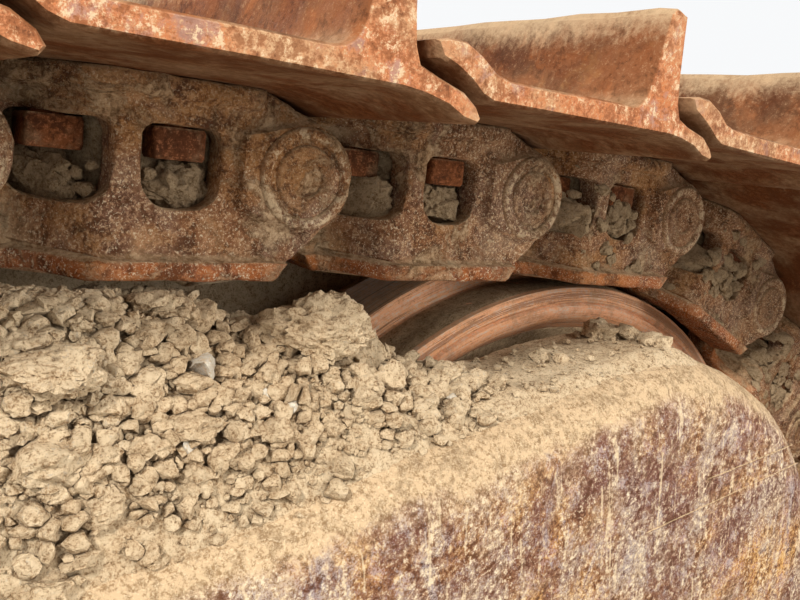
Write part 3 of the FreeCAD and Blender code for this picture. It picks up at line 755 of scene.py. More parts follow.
def pinShape():
    c = chainPin
    face = c["face"]
    plug = c["plugRadius"]
    half = [(0.0005, face - 0.0025), (plug * 0.7, face - 0.002), (plug, face - 0.0035),
            (plug + 0.001, face + 0.0002), (plug + 0.003, face + 0.0016),
            (c["radius"] - 0.003, face + 0.0018), (c["radius"] - 0.001, face + 0.0002),
            (c["radius"], face - 0.006)]
    return lathe(both(half), segments=24)


def collarShape():                  # pressed ring round each pin end
    face = chainPin["face"]
    ring = [(chainPin["groove"], face - 0.004), (chainPin["groove"] + 0.0006, face + 0.0008),
            (0.0285, face + 0.0022), (0.0322, face + 0.0022), (0.0340, face + 0.0006),
            (0.0343, face - 0.004)]
    one = lathe(ring, segments=24)
    return joined([one, mirroredY(one)])


def bushingShape():
    c = chainPin
    r, half = c["bushingRadius"], c["bushingHalf"]
    profile = [(c["sleeve"], -half), (r - 0.002, -half), (r, -half + 0.002), (r, half - 0.002),
               (r - 0.002, half), (c["sleeve"], half)]
    return lathe(profile, segments=28)


print("pins and bushings")
shape, own = laid(joined([pinShape(), collarShape()]), onLinks)
piece("chainPins", shape, "link", local=own, sharp=50)
shape, own = laid(bushingShape(), onLinks)
piece("chainBushings", shape, "bushing", local=own, sharp=50, replaces=["track_bushings"])


trackShoe = {
    "half": 0.280, "sections": 17, "wearDepth": 0.0022,
    "boltAt": (0.065, 0.133), "boltTop": 0.0675, "boltHalf": 0.0175, "boltHeight": 0.019,
    "nut": 0.0335, "nutFoot": 0.004, "nutHeight": 0.0195, "nutInset": 0.012,
}


def shoeOutline():                  # section of a shoe from its rear pin
    top = ([(-0.0205, 0.0795), (-0.012, 0.0815), (0.000, 0.0815), (0.0125, 0.077), (0.024, 0.0695)]
           + [(0.034, 0.0672), (0.065, 0.0672), (0.100, 0.0672), (0.128, 0.0674)]
           + arc((0.1375, 0.0825), 0.0148, -88, -12, 4)
           + [(0.1570, 0.100), (0.1625, 0.128)]
           + arc((0.1700, 0.1280), 0.0058, 165, 60, 3)
           + [(0.1795, 0.1290), (0.1805, 0.115), (0.1822, 0.090), (0.1845, 0.0745), (0.1880, 0.0660)])
    lip = [(0.2000, 0.0615), (0.2185, 0.0565), (0.2275, 0.0505), (0.2312, 0.0450), (0.2285, 0.0415),
           (0.2180, 0.0435), (0.2070, 0.0485), (0.1920, 0.0518)]
    under = [(0.178, 0.0535), (0.150, 0.0537), (0.100, 0.0537), (0.050, 0.0537), (0.022, 0.0537),
             (0.013, 0.0565), (0.0045, 0.0625), (-0.007, 0.0680), (-0.016, 0.0715)]
    return top + lip + under


def shoeShape(seed):
    c = trackShoe
    half, count = c["half"], c["sections"]
    outline = shoeOutline()
    rng = np.random.default_rng(seed)
    shift = rng.uniform(-40, 40, 3)
    between = list(np.linspace(-half + 0.016, half - 0.016, count))
    small = inset(outline, 0.0017)
    sections = []
    for y in [-half, -half + 0.0022] + between + [half - 0.0022, half]:
        ring = small if abs(y) > half - 0.001 else outline
        rough = []
        for x, z in ring:
            worn = noise.noise(Vector((x * 22 + shift[0], y * 9 + shift[1], z * 22 + shift[2])))
            chip = noise.noise(Vector((x * 60 + shift[1], y * 38 + shift[2], z * 60 + shift[0])))
            tip = min(max((z - 0.105) / 0.028, 0), 1)
            lost = tip * c["wearDepth"] * abs(worn + 0.6 * chip) * 1.6
            rough.append((x + 0.0007 * chip, y, z + 0.0007 * chip - lost))
        sections.append(rough)
    return rings(sections)


print("shoes")
shoeKinds = [shoeShape(seed) for seed in range(5)]
shoes, shoeOwn = [], []
for i, m in enumerate(onLinks):
    kind = shoeKinds[(i * 3 + i // 4) % len(shoeKinds)]
    shoes.append(placed(kind, m))
    shoeOwn.append(kind[0])
piece("trackShoes", joined(shoes), "shoe", local=np.concatenate(shoeOwn), sharp=38,
      replaces=["track_shoes"])


def hexHead(half, height):          # along Y, half across its flats, on a washer
    corners = [(half * 1.155 * math.cos(math.radians(60 * i + 30)),
                half * 1.155 * math.sin(math.radians(60 * i + 30))) for i in range(6)]
    ring = [(half * 1.28 * math.cos(math.radians(30 * i)),
             half * 1.28 * math.sin(math.radians(30 * i))) for i in range(12)]
    return joined([slab(eased(corners, 0.0015, 1), 0.0, height, height * 0.14),
                   slab(ring, -0.001, height * 0.18, 0.001)])


def lateral(x):                     # middle of a link's plate at x, from the chain's middle
    return float(linkSide(np.array([[x, chainLink["plate"] / 2, 0.0]]))[0, 1])


upright = Matrix.Rotation(math.radians(90), 4, "X")      # turns a head's Y axis to Z
head = placed(hexHead(trackShoe["boltHalf"], trackShoe["boltHeight"]), upright)
nutHalf = trackShoe["nut"] / 2
squareNut = placed(slab(eased([(-nutHalf, -nutHalf), (nutHalf, -nutHalf), (nutHalf, nutHalf),
                               (-nutHalf, nutHalf)], 0.003, 3), 0.0, trackShoe["nutHeight"], 0.002), upright)
stem = placed(slab(arc((0, 0), 0.0115, 0, 324, 9), 0.0, 0.04, 0), upright)
heads, nuts = [], []
for x in trackShoe["boltAt"]:
    for side in (-1, 1):
        y = side * lateral(x)
        heads.append(shifted(head, x, y, trackShoe["boltTop"]))
        out = y + side * (chainLink["plate"] / 2 - trackShoe["nutInset"] - nutHalf)
        nuts.append(shifted(squareNut, x, out, trackShoe["nutFoot"]))
        nuts.append(shifted(stem, x, out, trackShoe["nutFoot"] + 0.012))
shape, own = laid(joined(heads), onLinks)
piece("shoeBolts", shape, "bolt", local=own, sharp=40)
shape, own = laid(joined(nuts), onLinks)
piece("shoeNuts", shape, "bolt", local=own, sharp=40)


windowEarth = {
    "back": 0.031, "middle": (-0.005, 0.004), "half": (0.017, 0.023), "deep": (0.010, 0.013),
    "tall": (0.015, 0.020), "seed": 40, "empty": 0.08,
    "near": (9, 17),                # links in the photograph, with finer lumps
    "bulge": (13, 17),              # links on which the earth stands out
}


def inWindow(shape, x, m):          # from a window's middle onto a link, which leans out as it goes on
    return placed((linkSide(shape[0] + np.array([x, 0, 0])), shape[1]), m)


def windowFill():
    c = windowEarth
    rng = random.Random(c["seed"])
    backs, plugs = [], []
    half = c["back"]
    back = slab([(-half, -half - 0.003), (half, -half - 0.003), (half, half), (-half, half)],
                -0.004, 0.004, 0.001)
    for outboard, places in ((True, onLinksOut), (False, onLinks)):
        for i, m in enumerate(places):
            near = outboard and c["near"][0] <= i <= c["near"][1]
            bulging = outboard and c["bulge"][0] <= i <= c["bulge"][1]
            for x in chainLink["windows"]:
                backs.append(inWindow(back, x, m))
                if rng.random() < c["empty"]:
                    continue
                wide, tall = rng.uniform(*c["half"]), rng.uniform(*c["tall"])
                lump = clod((wide, rng.uniform(*c["deep"]), tall), rng.randrange(9999),
                            4 if near else 2, 0.3, 6)
                at = rng.uniform(*c["middle"])
                out = 0.022 if bulging else 0.011
                foot = chainLink["windowFoot"] + tall * 0.72
                plugs.append(inWindow(shifted(lump, at, out, foot), x, m))
                for _ in range(6 if near else 1):
                    size = rng.uniform(0.003, 0.009)
                    lump = clod((size, size * 0.8, size), rng.randrange(9999),
                                3 if size > 0.007 and near else 2 if near else 1)
                    lump = shifted(lump, rng.uniform(-1, 1) * (0.022 - size * 0.5),
                                   out + rng.uniform(0.000, 0.005), rng.uniform(-0.020, 0.002))
                    plugs.append(inWindow(lump, x, m))
    return joined(backs), joined(plugs)


def lumpsOn(i, count):              # earth stuck to the outer side of one link
    rng = random.Random(windowEarth["seed"] + i)
    made = []
    for _ in range(count):
        size = 0.002 + 0.008 * rng.random() ** 2
        lump = clod((size, size * 0.6, size * 0.9), rng.randrange(9999),
                    3 if size > 0.0075 else 2 if size > 0.0035 else 1)
        lump = shifted(lump, rng.triangular(0.02, 0.20, 0.12), chainLink["web"][1] - 0.0005,
                       rng.uniform(-0.060, 0.042))
        made.append(inWindow(lump, 0, onLinksOut[i]))
    return made


print("earth in the windows")
backs, plugs = windowFill()
first, last = windowEarth["bulge"]
stuck = [lump for i in range(first, last + 1) for lump in lumpsOn(i, 30 + 25 * (i - first))]
piece("windowBacks", backs, "packed", sharp=60)
piece("windowEarth", joined([plugs] + stuck), "packed", sharp=30)


# Wheels

idler = {
    "tread": 0.380, "flange": 0.402, "flangeHalf": 0.036, "half": 0.090, "bore": 0.0464,
    "rim": 0.346, "rimGroove": 0.003, "web": 0.050, "webFoot": 0.326, "hub": 0.112, "earth": 0.0024,
}


def idlerShape():
    c = idler
    half = c["half"]
    side = [(c["bore"], half - 0.004, 0.001), (c["hub"] - 0.012, half - 0.002, 0.004),
            (c["hub"], half - 0.010, 0.006), (c["hub"] + 0.020, c["web"] + 0.012, 0.015),
            (c["webFoot"] - 0.030, c["web"], 0.020), (c["webFoot"], c["web"] + 0.006, 0.012),
            (c["rim"], half - 0.005, 0.003), (c["rim"] + 0.008, half, 0.003),
            (c["rim"] + 0.015, half, 0.001), (c["rim"] + 0.0165, half - c["rimGroove"], 0.001),
            (c["rim"] + 0.019, half, 0.001), (c["tread"], half, 0.005),
            (c["tread"], c["flangeHalf"], 0.004), (c["flange"], c["flangeHalf"] - 0.002, 0.004)]
    return lathe(eased(both(side), 0.002, 2), segments=150)


def ringOfEarth(low, high, seed):   # what is packed onto the idler's running surface
    c = idler
    across, steps = 9, 300
    sections = []
    for i in range(steps):
        turn = 2 * math.pi * i / steps
        ring = []
        for k in range(across):
            t = k / (across - 1)
            y = low + (high - low) * t
            bulge = math.sin(math.pi * t) ** 0.5
            at = Vector((math.cos(turn) * 9 + seed, math.sin(turn) * 9, y * 40))
            lift = bulge * c["earth"] * (0.55 + 0.9 * noise.fractal(at, 0.8, 2.0, 4))
            ring.append((c["tread"] + lift, y))
        sections.append([(r * math.cos(turn), y, r * math.sin(turn)) for r, y in ring + [
            (c["tread"] - 0.004, high), (c["tread"] - 0.004, low)]])
    sections.append(sections[0])
    return rings(sections, caps=False)


def around(centre, radius, count, y, start):          # places on a bolt circle
    return [(centre[0] + radius * math.cos(start + 2 * math.pi * i / count), y,
             centre[1] + radius * math.sin(start + 2 * math.pi * i / count)) for i in range(count)]


def aboutY(x, y, z, flip=False):    # a head drawn along Y, seated on a face at y
    m = Matrix.Translation((x, y, z))
    return m @ Matrix.Rotation(math.pi, 4, "Z") if flip else m


def onIdler(shape):
    return shifted(shape, idlerAxle[0], chainY, idlerAxle[1])


print("idler")
hubSide = idler["half"] - 0.002
wheel = idlerShape()
piece("idler", onIdler(wheel), "idler", "idler", 30, local=wheel[0], replaces=["idler_wheel"])
packed = joined([ringOfEarth(idler["flangeHalf"] + 0.003, idler["half"] - 0.006, 3),
                 ringOfEarth(-idler["half"] + 0.006, -idler["flangeHalf"] - 0.003, 8)])
piece("idlerEarth", onIdler(packed), "caked", "idler", 60)
webCake = lathe(eased([(0.150, 0.040), (0.150, 0.0585, 0.01), (0.270, 0.0545, 0.02), (0.318, 0.060, 0.01),
                       (0.336, 0.071, 0.004), (0.336, 0.040)], 0.002, 3), segments=150)
webCake = roughened(webCake, 16, 0.005, 4, 4)
piece("idlerSideEarth", onIdler(joined([webCake, mirroredY(webCake)])), "caked", "idler", 60)
small = hexHead(0.0125, 0.011)
heads = [placed(small, aboutY(x, y, z, y < chainY)) for y in (chainY - hubSide, chainY + hubSide)
         for x, y, z in around(idlerAxle, 0.082, 8, y, 0.2)]
piece("idlerBolts", joined(heads), "bolt", "idler", 40)

sprocketDrive = {
    "teeth": 24, "half": 0.0355, "seat": 0.0335, "seatAngle": 78, "tipOver": 0.0195, "tipHalf": 0.0075,
    "inner": 0.1895, "bolts": 16, "boltCircle": 0.262, "ledge": 0.300, "ledgeHalf": 0.047,
}


def toothedRim():
    c = sprocketDrive
    first = min(pins)
    start = math.atan2(first[1] - sprocketAxle[1], first[0] - sprocketAxle[0])
    circle = math.dist(first, sprocketAxle)
    outline = []
    for i in range(c["teeth"]):
        middle = start + 2 * math.pi * i / c["teeth"]
        root = (sprocketAxle[0] + circle * math.cos(middle), sprocketAxle[1] + circle * math.sin(middle))
        facing = math.degrees(middle) + 180
        outline += arc(root, c["seat"], facing + c["seatAngle"], facing - c["seatAngle"], 9)
        tip = circle + c["tipOver"]
        for side in (-1, 1):
            turn = middle + math.pi / c["teeth"] + side * c["tipHalf"] / tip
            outline.append((sprocketAxle[0] + tip * math.cos(turn), sprocketAxle[1] + tip * math.sin(turn)))
    hole = arc(sprocketAxle, c["inner"], 0, 356, 89)
    body = holedPlate(outline, [hole], -c["half"], c["half"])
    return worked(body, ("WELD", {"merge_threshold": 1e-5}),
                  ("DECIMATE", {"decimate_type": "DISSOLVE", "angle_limit": 0.01}),
                  ("BEVEL", {"width": 0.0025, "segments": 2, "limit_method": "ANGLE", "angle_limit": 0.9}))


print("sprocket")
rim = toothedRim()
piece("sprocketTeeth", shifted(rim, y=chainY), "teeth", "sprocket", 28,
      local=shifted(rim, -sprocketAxle[0], 0, -sprocketAxle[1])[0], replaces=["sprocket_rim"])
ledgeRadius, ledgeHalf = sprocketDrive["ledge"], sprocketDrive["ledgeHalf"]
ledge = lathe(eased(both([(0.188, ledgeHalf), (ledgeRadius, ledgeHalf), (ledgeRadius + 0.010, 0.0365)])[::-1],
                    0.003, 2), sprocketAxle, 120)
big = hexHead(0.0165, 0.017)
heads = [placed(big, aboutY(x, y, z, y < chainY)) for y in (chainY - ledgeHalf, chainY + ledgeHalf)
         for x, y, z in around(sprocketAxle, sprocketDrive["boltCircle"], sprocketDrive["bolts"],
                               y, 0.1)]
piece("sprocketRing", shifted(ledge, y=chainY), "casting", "sprocket", 30)
hubLow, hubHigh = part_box("sprocket_hub")
hubIn, hubOut = hubHigh.y - chainY, hubLow.y - chainY
hubProfile = eased([(0.0704, hubOut), (0.118, hubOut), (0.130, hubOut + 0.012), (0.130, -0.060),
                    (0.190, -0.048), (0.190, 0.075), (0.150, 0.095), (0.150, hubIn - 0.035),
                    (0.190, hubIn - 0.028), (0.190, hubIn), (0.0704, hubIn)], 0.004, 2)
piece("sprocketHub", shifted(lathe(hubProfile, sprocketAxle, 96), y=chainY), "casting", "sprocket", 30,
      replaces=["sprocket_hub"])
heads += [placed(small, aboutY(x, y, z, True)) for x, y, z in
          around(sprocketAxle, 0.102, 8, hubLow.y + 0.001, 0.3)]
piece("sprocketBolts", joined(heads), "bolt", "sprocket", 40)

trackRoller = {
    "count": 6, "tread": 0.105, "treadFrom": 0.048, "treadHalf": 0.1455, "waist": 0.088,
    "flange": 0.124, "rim": 0.158, "shaft": 0.036,
}
rollerLow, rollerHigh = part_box("track_rollers")
rollerWide = rollerHigh.z - rollerLow.z
rollerZ = (rollerLow.z + rollerHigh.z) / 2
rollerStep = (rollerHigh.x - rollerLow.x - rollerWide) / (trackRoller["count"] - 1)
rollers = [(rollerLow.x + rollerWide / 2 + rollerStep * i, rollerZ) for i in range(trackRoller["count"])]
rollerReach = rollerHigh.y - chainY


def rollerShape():
    c = trackRoller
    half = [(c["waist"], 0.030, 0.012), (c["waist"] + 0.001, c["treadFrom"] - 0.012, 0.006),
            (c["tread"], c["treadFrom"], 0.003), (c["tread"], c["treadHalf"], 0.003),
            (c["flange"] - 0.002, c["treadHalf"] + 0.003, 0.003), (c["flange"], c["rim"] - 0.001, 0.003),
            (0.070, c["rim"], 0.004), (0.064, c["rim"] + 0.006, 0.003),
            (c["shaft"], rollerReach - 0.001, 0.001)]
    outer = [(r, -y, own) for r, y, own in reversed(half)]
    return lathe(eased([(0.001, -rollerReach)] + outer + half + [(0.001, rollerReach)], 0.001, 2),
                 segments=44)


print("rollers")
shape, own = laid(rollerShape(), [Matrix.Translation((x, chainY, z)) for x, z in rollers])
piece("trackRollers", shape, "roller", sharp=30, local=own, replaces=["track_rollers"])

carrierRoller = {"radius": 0.092, "half": 0.122}
carrierRadius, carrierHalf = carrierRoller["radius"], carrierRoller["half"]
carrierLow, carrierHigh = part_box("carrier_rollers")
carriers = [(carrierLow.x + carrierRadius, carrierHigh.z - carrierRadius),
            (carrierHigh.x - carrierRadius, carrierLow.z + carrierRadius)]
carrierEnd = carrierHigh.y - chainY
carrierProfile = eased([(0.001, -carrierHalf), (0.030, -carrierHalf), (0.034, -carrierHalf + 0.006),
                        (0.072, -carrierHalf + 0.006), (0.078, -carrierHalf), (0.090, -carrierHalf, 0.005),
                        (carrierRadius, -0.110, 0.004), (carrierRadius, -0.045, 0.003),
                        (0.084, -0.036, 0.005), (0.084, 0.036, 0.005), (carrierRadius, 0.045, 0.003),
                        (carrierRadius, 0.110, 0.004), (0.086, carrierHalf, 0.005), (0.046, carrierHalf),
                        (0.044, carrierHalf + 0.004), (0.028, carrierHalf + 0.005), (0.028, carrierEnd),
                        (0.001, carrierEnd)], 0.001, 2)
shape, own = laid(lathe(carrierProfile, segments=56),
                  [Matrix.Translation((x, chainY, z)) for x, z in carriers])
piece("carrierRollers", shape, "roller", sharp=30, local=own, replaces=["carrier_rollers"])


# Frame

def dressed(node):                  # a rigid node with its edges eased
    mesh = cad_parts[node].data
    return worked(shapeOf(mesh), ("WELD", {"merge_threshold": 1e-5}),
                  ("DECIMATE", {"decimate_type": "DISSOLVE", "angle_limit": 0.02}),
                  ("BEVEL", {"width": 0.003, "segments": 2, "limit_method": "ANGLE", "angle_limit": 0.6}))


def beaten(node, voxel, target, seed):      # plate work with the dents of long use
    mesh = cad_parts[node].data
    solid = worked(shapeOf(mesh), ("WELD", {"merge_threshold": 1e-5}),
                   ("REMESH", {"mode": "VOXEL", "voxel_size": voxel}),
                   ("SMOOTH", {"factor": 0.5, "iterations": 3}))
    solid = roughened(solid, 6.0, 0.0022, seed)
    return worked(solid, ("DECIMATE", {"ratio": min(1.0, target / len(solid[1]))}))


print("frame rails")
for side, voxel, target, seed in (("outboard", 0.008, 46000, 2), ("inboard", 0.012, 13000, 5)):
    node = "frame_rail_" + side
    piece("frameRail" + side.title(), beaten(node, voxel, target, seed), "arm", sharp=50, replaces=[node])

weldRuns = {                        # along the nose, as (x, z) from end to end
    "radius": 0.0011, "step": 0.004,
    "runs": (((1.198, 0.811), (1.349, 0.799)), ((1.112, 0.790), (1.363, 0.774))),
}


def weldBead(a, b, seed):
    a, b, radius = Vector(a), Vector(b), weldRuns["radius"]
    count = max(6, int((b - a).length / weldRuns["step"]))
    path, sizes = [], []
    for i in range(count + 1):
        t = i / count
        wobble = noise.noise(Vector((i * 0.31, seed, 0.0))) * radius * 0.5
        path.append(a.lerp(b, t) + Vector((0, 0, wobble)))
        sizes.append(radius * (0.82 + 0.28 * math.sin(i * 2.1)) if 0 < i < count else radius * 0.4)
    return tube(path, sizes)


beads = [weldBead((x0, railLow.y, z0), (x1, railLow.y, z1), seed)
         for seed, ((x0, z0), (x1, z1)) in enumerate(weldRuns["runs"])]
piece("armWelds", joined(beads), "arm", sharp=60)

print("plates, guards and mounts")
for node, name, finish in (
        ("deck_plate", "deckPlate", "frame"), ("belly_plate", "bellyPlate", "frame"),
        ("idler_yoke", "idlerYoke", "frame"), ("recoil_unit", "recoilUnit", "frame"),
        ("diagonal_brace", "diagonalBrace", "frame"), ("equalizer_seat", "equalizerSeat", "frame"),
        ("carrier_stands", "carrierStands", "frame"), ("wheel_shafts", "wheelShafts", "steel"),
        ("roller_guard_outboard", "rollerGuardOutboard", "arm"),
        ("roller_guard_inboard", "rollerGuardInboard", "arm"),
        ("roller_collars", "rollerCollars", "frame")):
    piece(name, dressed(node), finish, sharp=25, replaces=[node])


# Earth on the frame

heap = {
    "height": 0.122, "inboard": 0.062,      # of the mound, and of what lies on the inboard rail
    "thinEnd": 0.066, "rearSlope": 0.090, "skin": 0.007, "nose": 0.150, "seed": 5.3,
    "fineFrom": 0.46,               # finer shards ahead of this
    "edge": 0.048,                  # radius of a rail's outer top edge
    "inner": 0.1245,                # how far in from the rail's outer side it reaches over the wheel
    "chainDepth": 0.071, "gapUnderChain": 0.007,
    "trench": 0.100, "trenchHalf": 0.129,   # kept free round each carrier roller
}
noseRadius = railHigh.z - idlerAxle[1]
outboardSide, inboardSide = railLow.y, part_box("frame_rail_inboard")[1].y
topRun = sorted(p for p in pins if p[1] > idlerAxle[1] + 0.2)


def soft(t):                        # soft step from 0 to 1
    t = min(max(t, 0.0), 1.0)
    return t * t * (3 - 2 * t)


def underChain(x):                  # height of the rails that hang over x
    for a, b in zip(topRun, topRun[1:]):
        if a[0] <= x <= b[0]:
            return a[1] + (b[1] - a[1]) * (x - a[0]) / (b[0] - a[0]) - heap["chainDepth"]
    return topRun[0 if x < topRun[0][0] else -1][1] - heap["chainDepth"]


def railCrown(x, d):                # top of a rail, its outer edge rounded, its nose bent down
    edge = heap["edge"]
    drop = edge - math.sqrt(max(edge * edge - max(edge - d, 0.0) ** 2, 0.0))
    ahead = max(x - idlerAxle[0], 0.0)
    return idlerAxle[1] + math.sqrt(max((noseRadius - drop) ** 2 - ahead * ahead, 0.0))


def shards(x, y, size, seed):       # flat broken pieces of about this size side by side, cracks between
    near, spots = noise.voronoi(Vector((x / size, y / size, seed)))
    own = noise.cell_vector(spots[0] * 9.7)
    tilt = (x / size - spots[0].x) * (own.x - 0.5) + (y / size - spots[0].y) * (own.y - 0.5)
    return (0.35 + 0.55 * own.z + 1.5 * tilt) * min((near[1] - near[0]) * 3.5 + 0.15, 1.0)


def earthTop(x, y):                 # its height over a point of the frame
    c = heap
    d = min(y - outboardSide, inboardSide - y)
    thin = idlerAxle[0] - c["thinEnd"]
    mound = c["height"] * soft((thin - x) / (thin - deckHigh.x)) * soft((x - deckLow.x) / c["rearSlope"])
    if y > chainY:                  # more of it is left on the inboard rail
        inboard = c["inboard"] * soft((idlerAxle[0] + 0.06 - x) / 0.12) * soft((x - deckHigh.x) / 0.1)
        mound = max(mound, inboard)
    broad = noise.fractal(Vector((x * 7 + c["seed"], y * 9, 0.3)), 0.8, 2.0, 3)
    crumbs = noise.fractal(Vector((x * 60, y * 60, c["seed"])), 0.7, 2.0, 4)
    broken = soft((0.95 * mound / c["height"] - 0.12 + 0.6 * broad) / 0.6)  # crumbly, not drifted
    cover = soft((d - 0.011) / 0.034) * soft((idlerAxle[0] + c["nose"] - x) / 0.07)
    lumps = 0.008 * shards(x, y, 0.034, 1.0) * soft(mound / 0.05)
    near = soft((x - c["fineFrom"]) / 0.06)
    if near > 0:
        lumps += near * (0.0055 * shards(x, y, 0.0120, 4.0) + 0.0040 * shards(x, y, 0.0062, 7.0))
    if near < 1:
        lumps += (1 - near) * 0.013 * shards(x, y, 0.055, 2.0)
    rise = mound * soft((d - 0.012) / 0.092) * (1 + 0.16 * broad)
    skin = c["skin"] * (0.75 + 0.9 * broad)
    grit = 0.0010 + 0.0016 * broken
    z = railCrown(x, d) + rise + (skin + lumps * broken + grit * crumbs) * cover - 0.009 * (1 - cover)
    for cx, cz in carriers:
        if abs(x - cx) < c["trench"] and abs(y - chainY) < c["trenchHalf"]:
            z = min(z, cz - math.sqrt(c["trench"] ** 2 - (x - cx) ** 2) - 0.002 + 0.003 * crumbs)
    return min(z, underChain(x) - c["gapUnderChain"] + 0.004 * crumbs + 0.010 * broad)


def earthSheet(xs, ys, foot):       # earth between its own top and a flat foot inside the steel
    return rings([[(x, y, max(earthTop(x, y), foot + 0.002)) for y in ys]
                  + [(x, ys[-1], foot), (x, ys[0], foot)] for x in xs])


print("earth on the frame")
spacing = {"fine": 0.0016, "middle": 0.0042, "coarse": 0.0075}      # of the points
foot = railHigh.z - 0.090
railXs = np.arange(0.510, idlerAxle[0] + heap["nose"] + 0.005, spacing["fine"])
railDs = np.concatenate([np.arange(0.006, 0.060, spacing["fine"]),
                         np.arange(0.060, heap["inner"], spacing["fine"])])
outer = earthSheet(railXs, outboardSide + railDs, foot)
inner = earthSheet(railXs[::2], (inboardSide - railDs)[::-1][::2], foot)
piece("earthOnRailOutboard", outer, "earth", sharp=75)
piece("earthOnRailInboard", inner, "earth", sharp=75)
bedXs = np.arange(0.500, deckHigh.x - 0.001, spacing["middle"])
bedYs = np.arange(outboardSide + heap["inner"] - 0.004, inboardSide - heap["inner"] + 0.004,
                  spacing["middle"])
farXs = np.arange(deckLow.x + 0.002, 0.516, spacing["coarse"])
farYs = np.concatenate([[outboardSide + 0.006],
                        np.arange(outboardSide + 0.012, inboardSide - 0.011, spacing["coarse"]),
                        [inboardSide - 0.006]])
bed = joined([earthSheet(bedXs, bedYs, foot), earthSheet(farXs, farYs, foot)])
piece("earthOnDeck", bed, "earth", sharp=75, replaces=["packed_earth"])

# The larger clods and stones on the outboard rail: x, y, half sizes, and how deep each one sits
photoClods = (
    (0.842, -0.372, (0.036, 0.026, 0.024), 0.05), (0.885, -0.366, (0.015, 0.013, 0.018), 0.25),
    (0.893, -0.384, (0.010, 0.010, 0.012), 0.25), (0.822, -0.368, (0.010, 0.009, 0.012), 0.2),
    (0.852, -0.336, (0.022, 0.018, 0.016), 0.35), (0.856, -0.403, (0.0105, 0.009, 0.0085), 0.2),
    (0.801, -0.379, (0.013, 0.010, 0.007), 0.2), (0.673, -0.378, (0.030, 0.024, 0.017), 0.30),
    (0.661, -0.399, (0.022, 0.018, 0.013), 0.45), (0.742, -0.398, (0.016, 0.013, 0.009), 0.3),
    (0.790, -0.405, (0.012, 0.010, 0.009), 0.25), (0.692, -0.352, (0.014, 0.011, 0.009), 0.4),
    (0.752, -0.352, (0.016, 0.014, 0.012), 0.3), (0.640, -0.424, (0.020, 0.016, 0.013), 0.45),
    (0.955, -0.370, (0.019, 0.015, 0.011), 0.35), (0.978, -0.378, (0.012, 0.010, 0.008), 0.35),
    (0.940, -0.384, (0.009, 0.009, 0.007), 0.3), (1.168, -0.344, (0.020, 0.016, 0.013), 0.35),
    (1.186, -0.362, (0.016, 0.013, 0.010), 0.35), (1.190, -0.382, (0.014, 0.012, 0.009), 0.35),
    (1.194, -0.397, (0.009, 0.008, 0.007), 0.35), (1.062, -0.366, (0.011, 0.010, 0.007), 0.4),
    (1.075, -0.378, (0.007, 0.006, 0.005), 0.3), (0.990, -0.392, (0.009, 0.008, 0.007), 0.3),
    (0.930, -0.412, (0.008, 0.007, 0.008), 0.3),
)
photoStones = (
    (0.757, -0.380, (0.013, 0.009, 0.009), 0.2), (0.793, -0.387, (0.0060, 0.005, 0.005), 0.2),
    (0.734, -0.404, (0.0075, 0.006, 0.008), 0.3), (0.710, -0.372, (0.0055, 0.005, 0.005), 0.2),
    (0.806, -0.398, (0.0050, 0.004, 0.004), 0.2), (0.940, -0.395, (0.0045, 0.004, 0.004), 0.2),
)


def setDown(x, y, size, sink, seed, divisions):      # a clod laid on the earth
    z = earthTop(x, y) + size[2] * (1 - 2 * sink) * 0.9
    if y > chainY - 0.145:          # nothing reaches up into the chain
        z = min(z, underChain(x) - 0.003 - size[2] * 1.3)
    turned = Matrix.Translation((x, y, z)) @ Matrix.Rotation(seed * 1.7, 4, "Z")
    return placed(clod(size, seed, divisions), turned)


scatter = {"seed": 21, "crumbs": 2900, "near": 0.53, "far": 1.00, "grit": 1300, "inboard": 420, "deck": 500}
rng = random.Random(scatter["seed"])
clods = [setDown(x, y, size, sink, 11 + i, 5 if size[0] > 0.028 else 4 if size[0] > 0.012 else 3)
         for i, (x, y, size, sink) in enumerate(photoClods)]
crumbs = []
for i in range(scatter["crumbs"]):
    x = rng.triangular(scatter["near"], scatter["far"], 0.66)
    d = rng.triangular(0.016, 0.120, 0.056)
    size = 0.0014 + 0.0070 * rng.random() ** 2.6
    own = (size * rng.uniform(0.8, 1.4), size * rng.uniform(0.8, 1.2), size * rng.uniform(0.6, 1.0))
    crumbs.append(setDown(x, outboardSide + d, own, rng.uniform(0.05, 0.35), i + 100,
                          3 if size > 0.0074 else 2 if size > 0.0036 else 1))
grit = []
for i in range(scatter["grit"]):
    x = rng.triangular(0.64, idlerAxle[0] + 0.10, 0.86)
    size = 0.0008 + 0.0036 * rng.random() ** 4
    y = outboardSide + rng.uniform(0.022, 0.118)
    grit.append(setDown(x, y, (size, size, size * 0.7), 0.15, i + 3000, 1))
piece("clods", joined(clods), "earth", sharp=28)
piece("crumbs", joined(crumbs), "earth", sharp=28)
piece("grit", joined(grit), "earth", sharp=28)
stones = [setDown(x, y, size, sink, 71 + i, 3) for i, (x, y, size, sink) in enumerate(photoStones)]
piece("stones", joined(stones), "stone", sharp=35)

farClods = []
for i in range(scatter["inboard"] + scatter["deck"]):
    onRail = i < scatter["inboard"]
    if onRail:
        x, y = rng.triangular(0.51, 1.08, 0.62), inboardSide - rng.triangular(0.018, 0.118, 0.06)
    else:
        x, y = rng.uniform(deckLow.x + 0.03, 0.66), rng.uniform(outboardSide + 0.03, inboardSide - 0.03)
    size = 0.003 + 0.016 * rng.random() ** (2.8 if onRail else 1.8)
    if earthTop(x, y) + size < underChain(x) - 0.004 and (onRail or x < 0.62):
        farClods.append(setDown(x, y, (size * 1.2, size, size * 0.8), 0.3, i + 6000,
                                2 if size > 0.007 else 1))
piece("clodsOnDeck", joined(farClods), "earth", sharp=40)


# Floor, light and camera

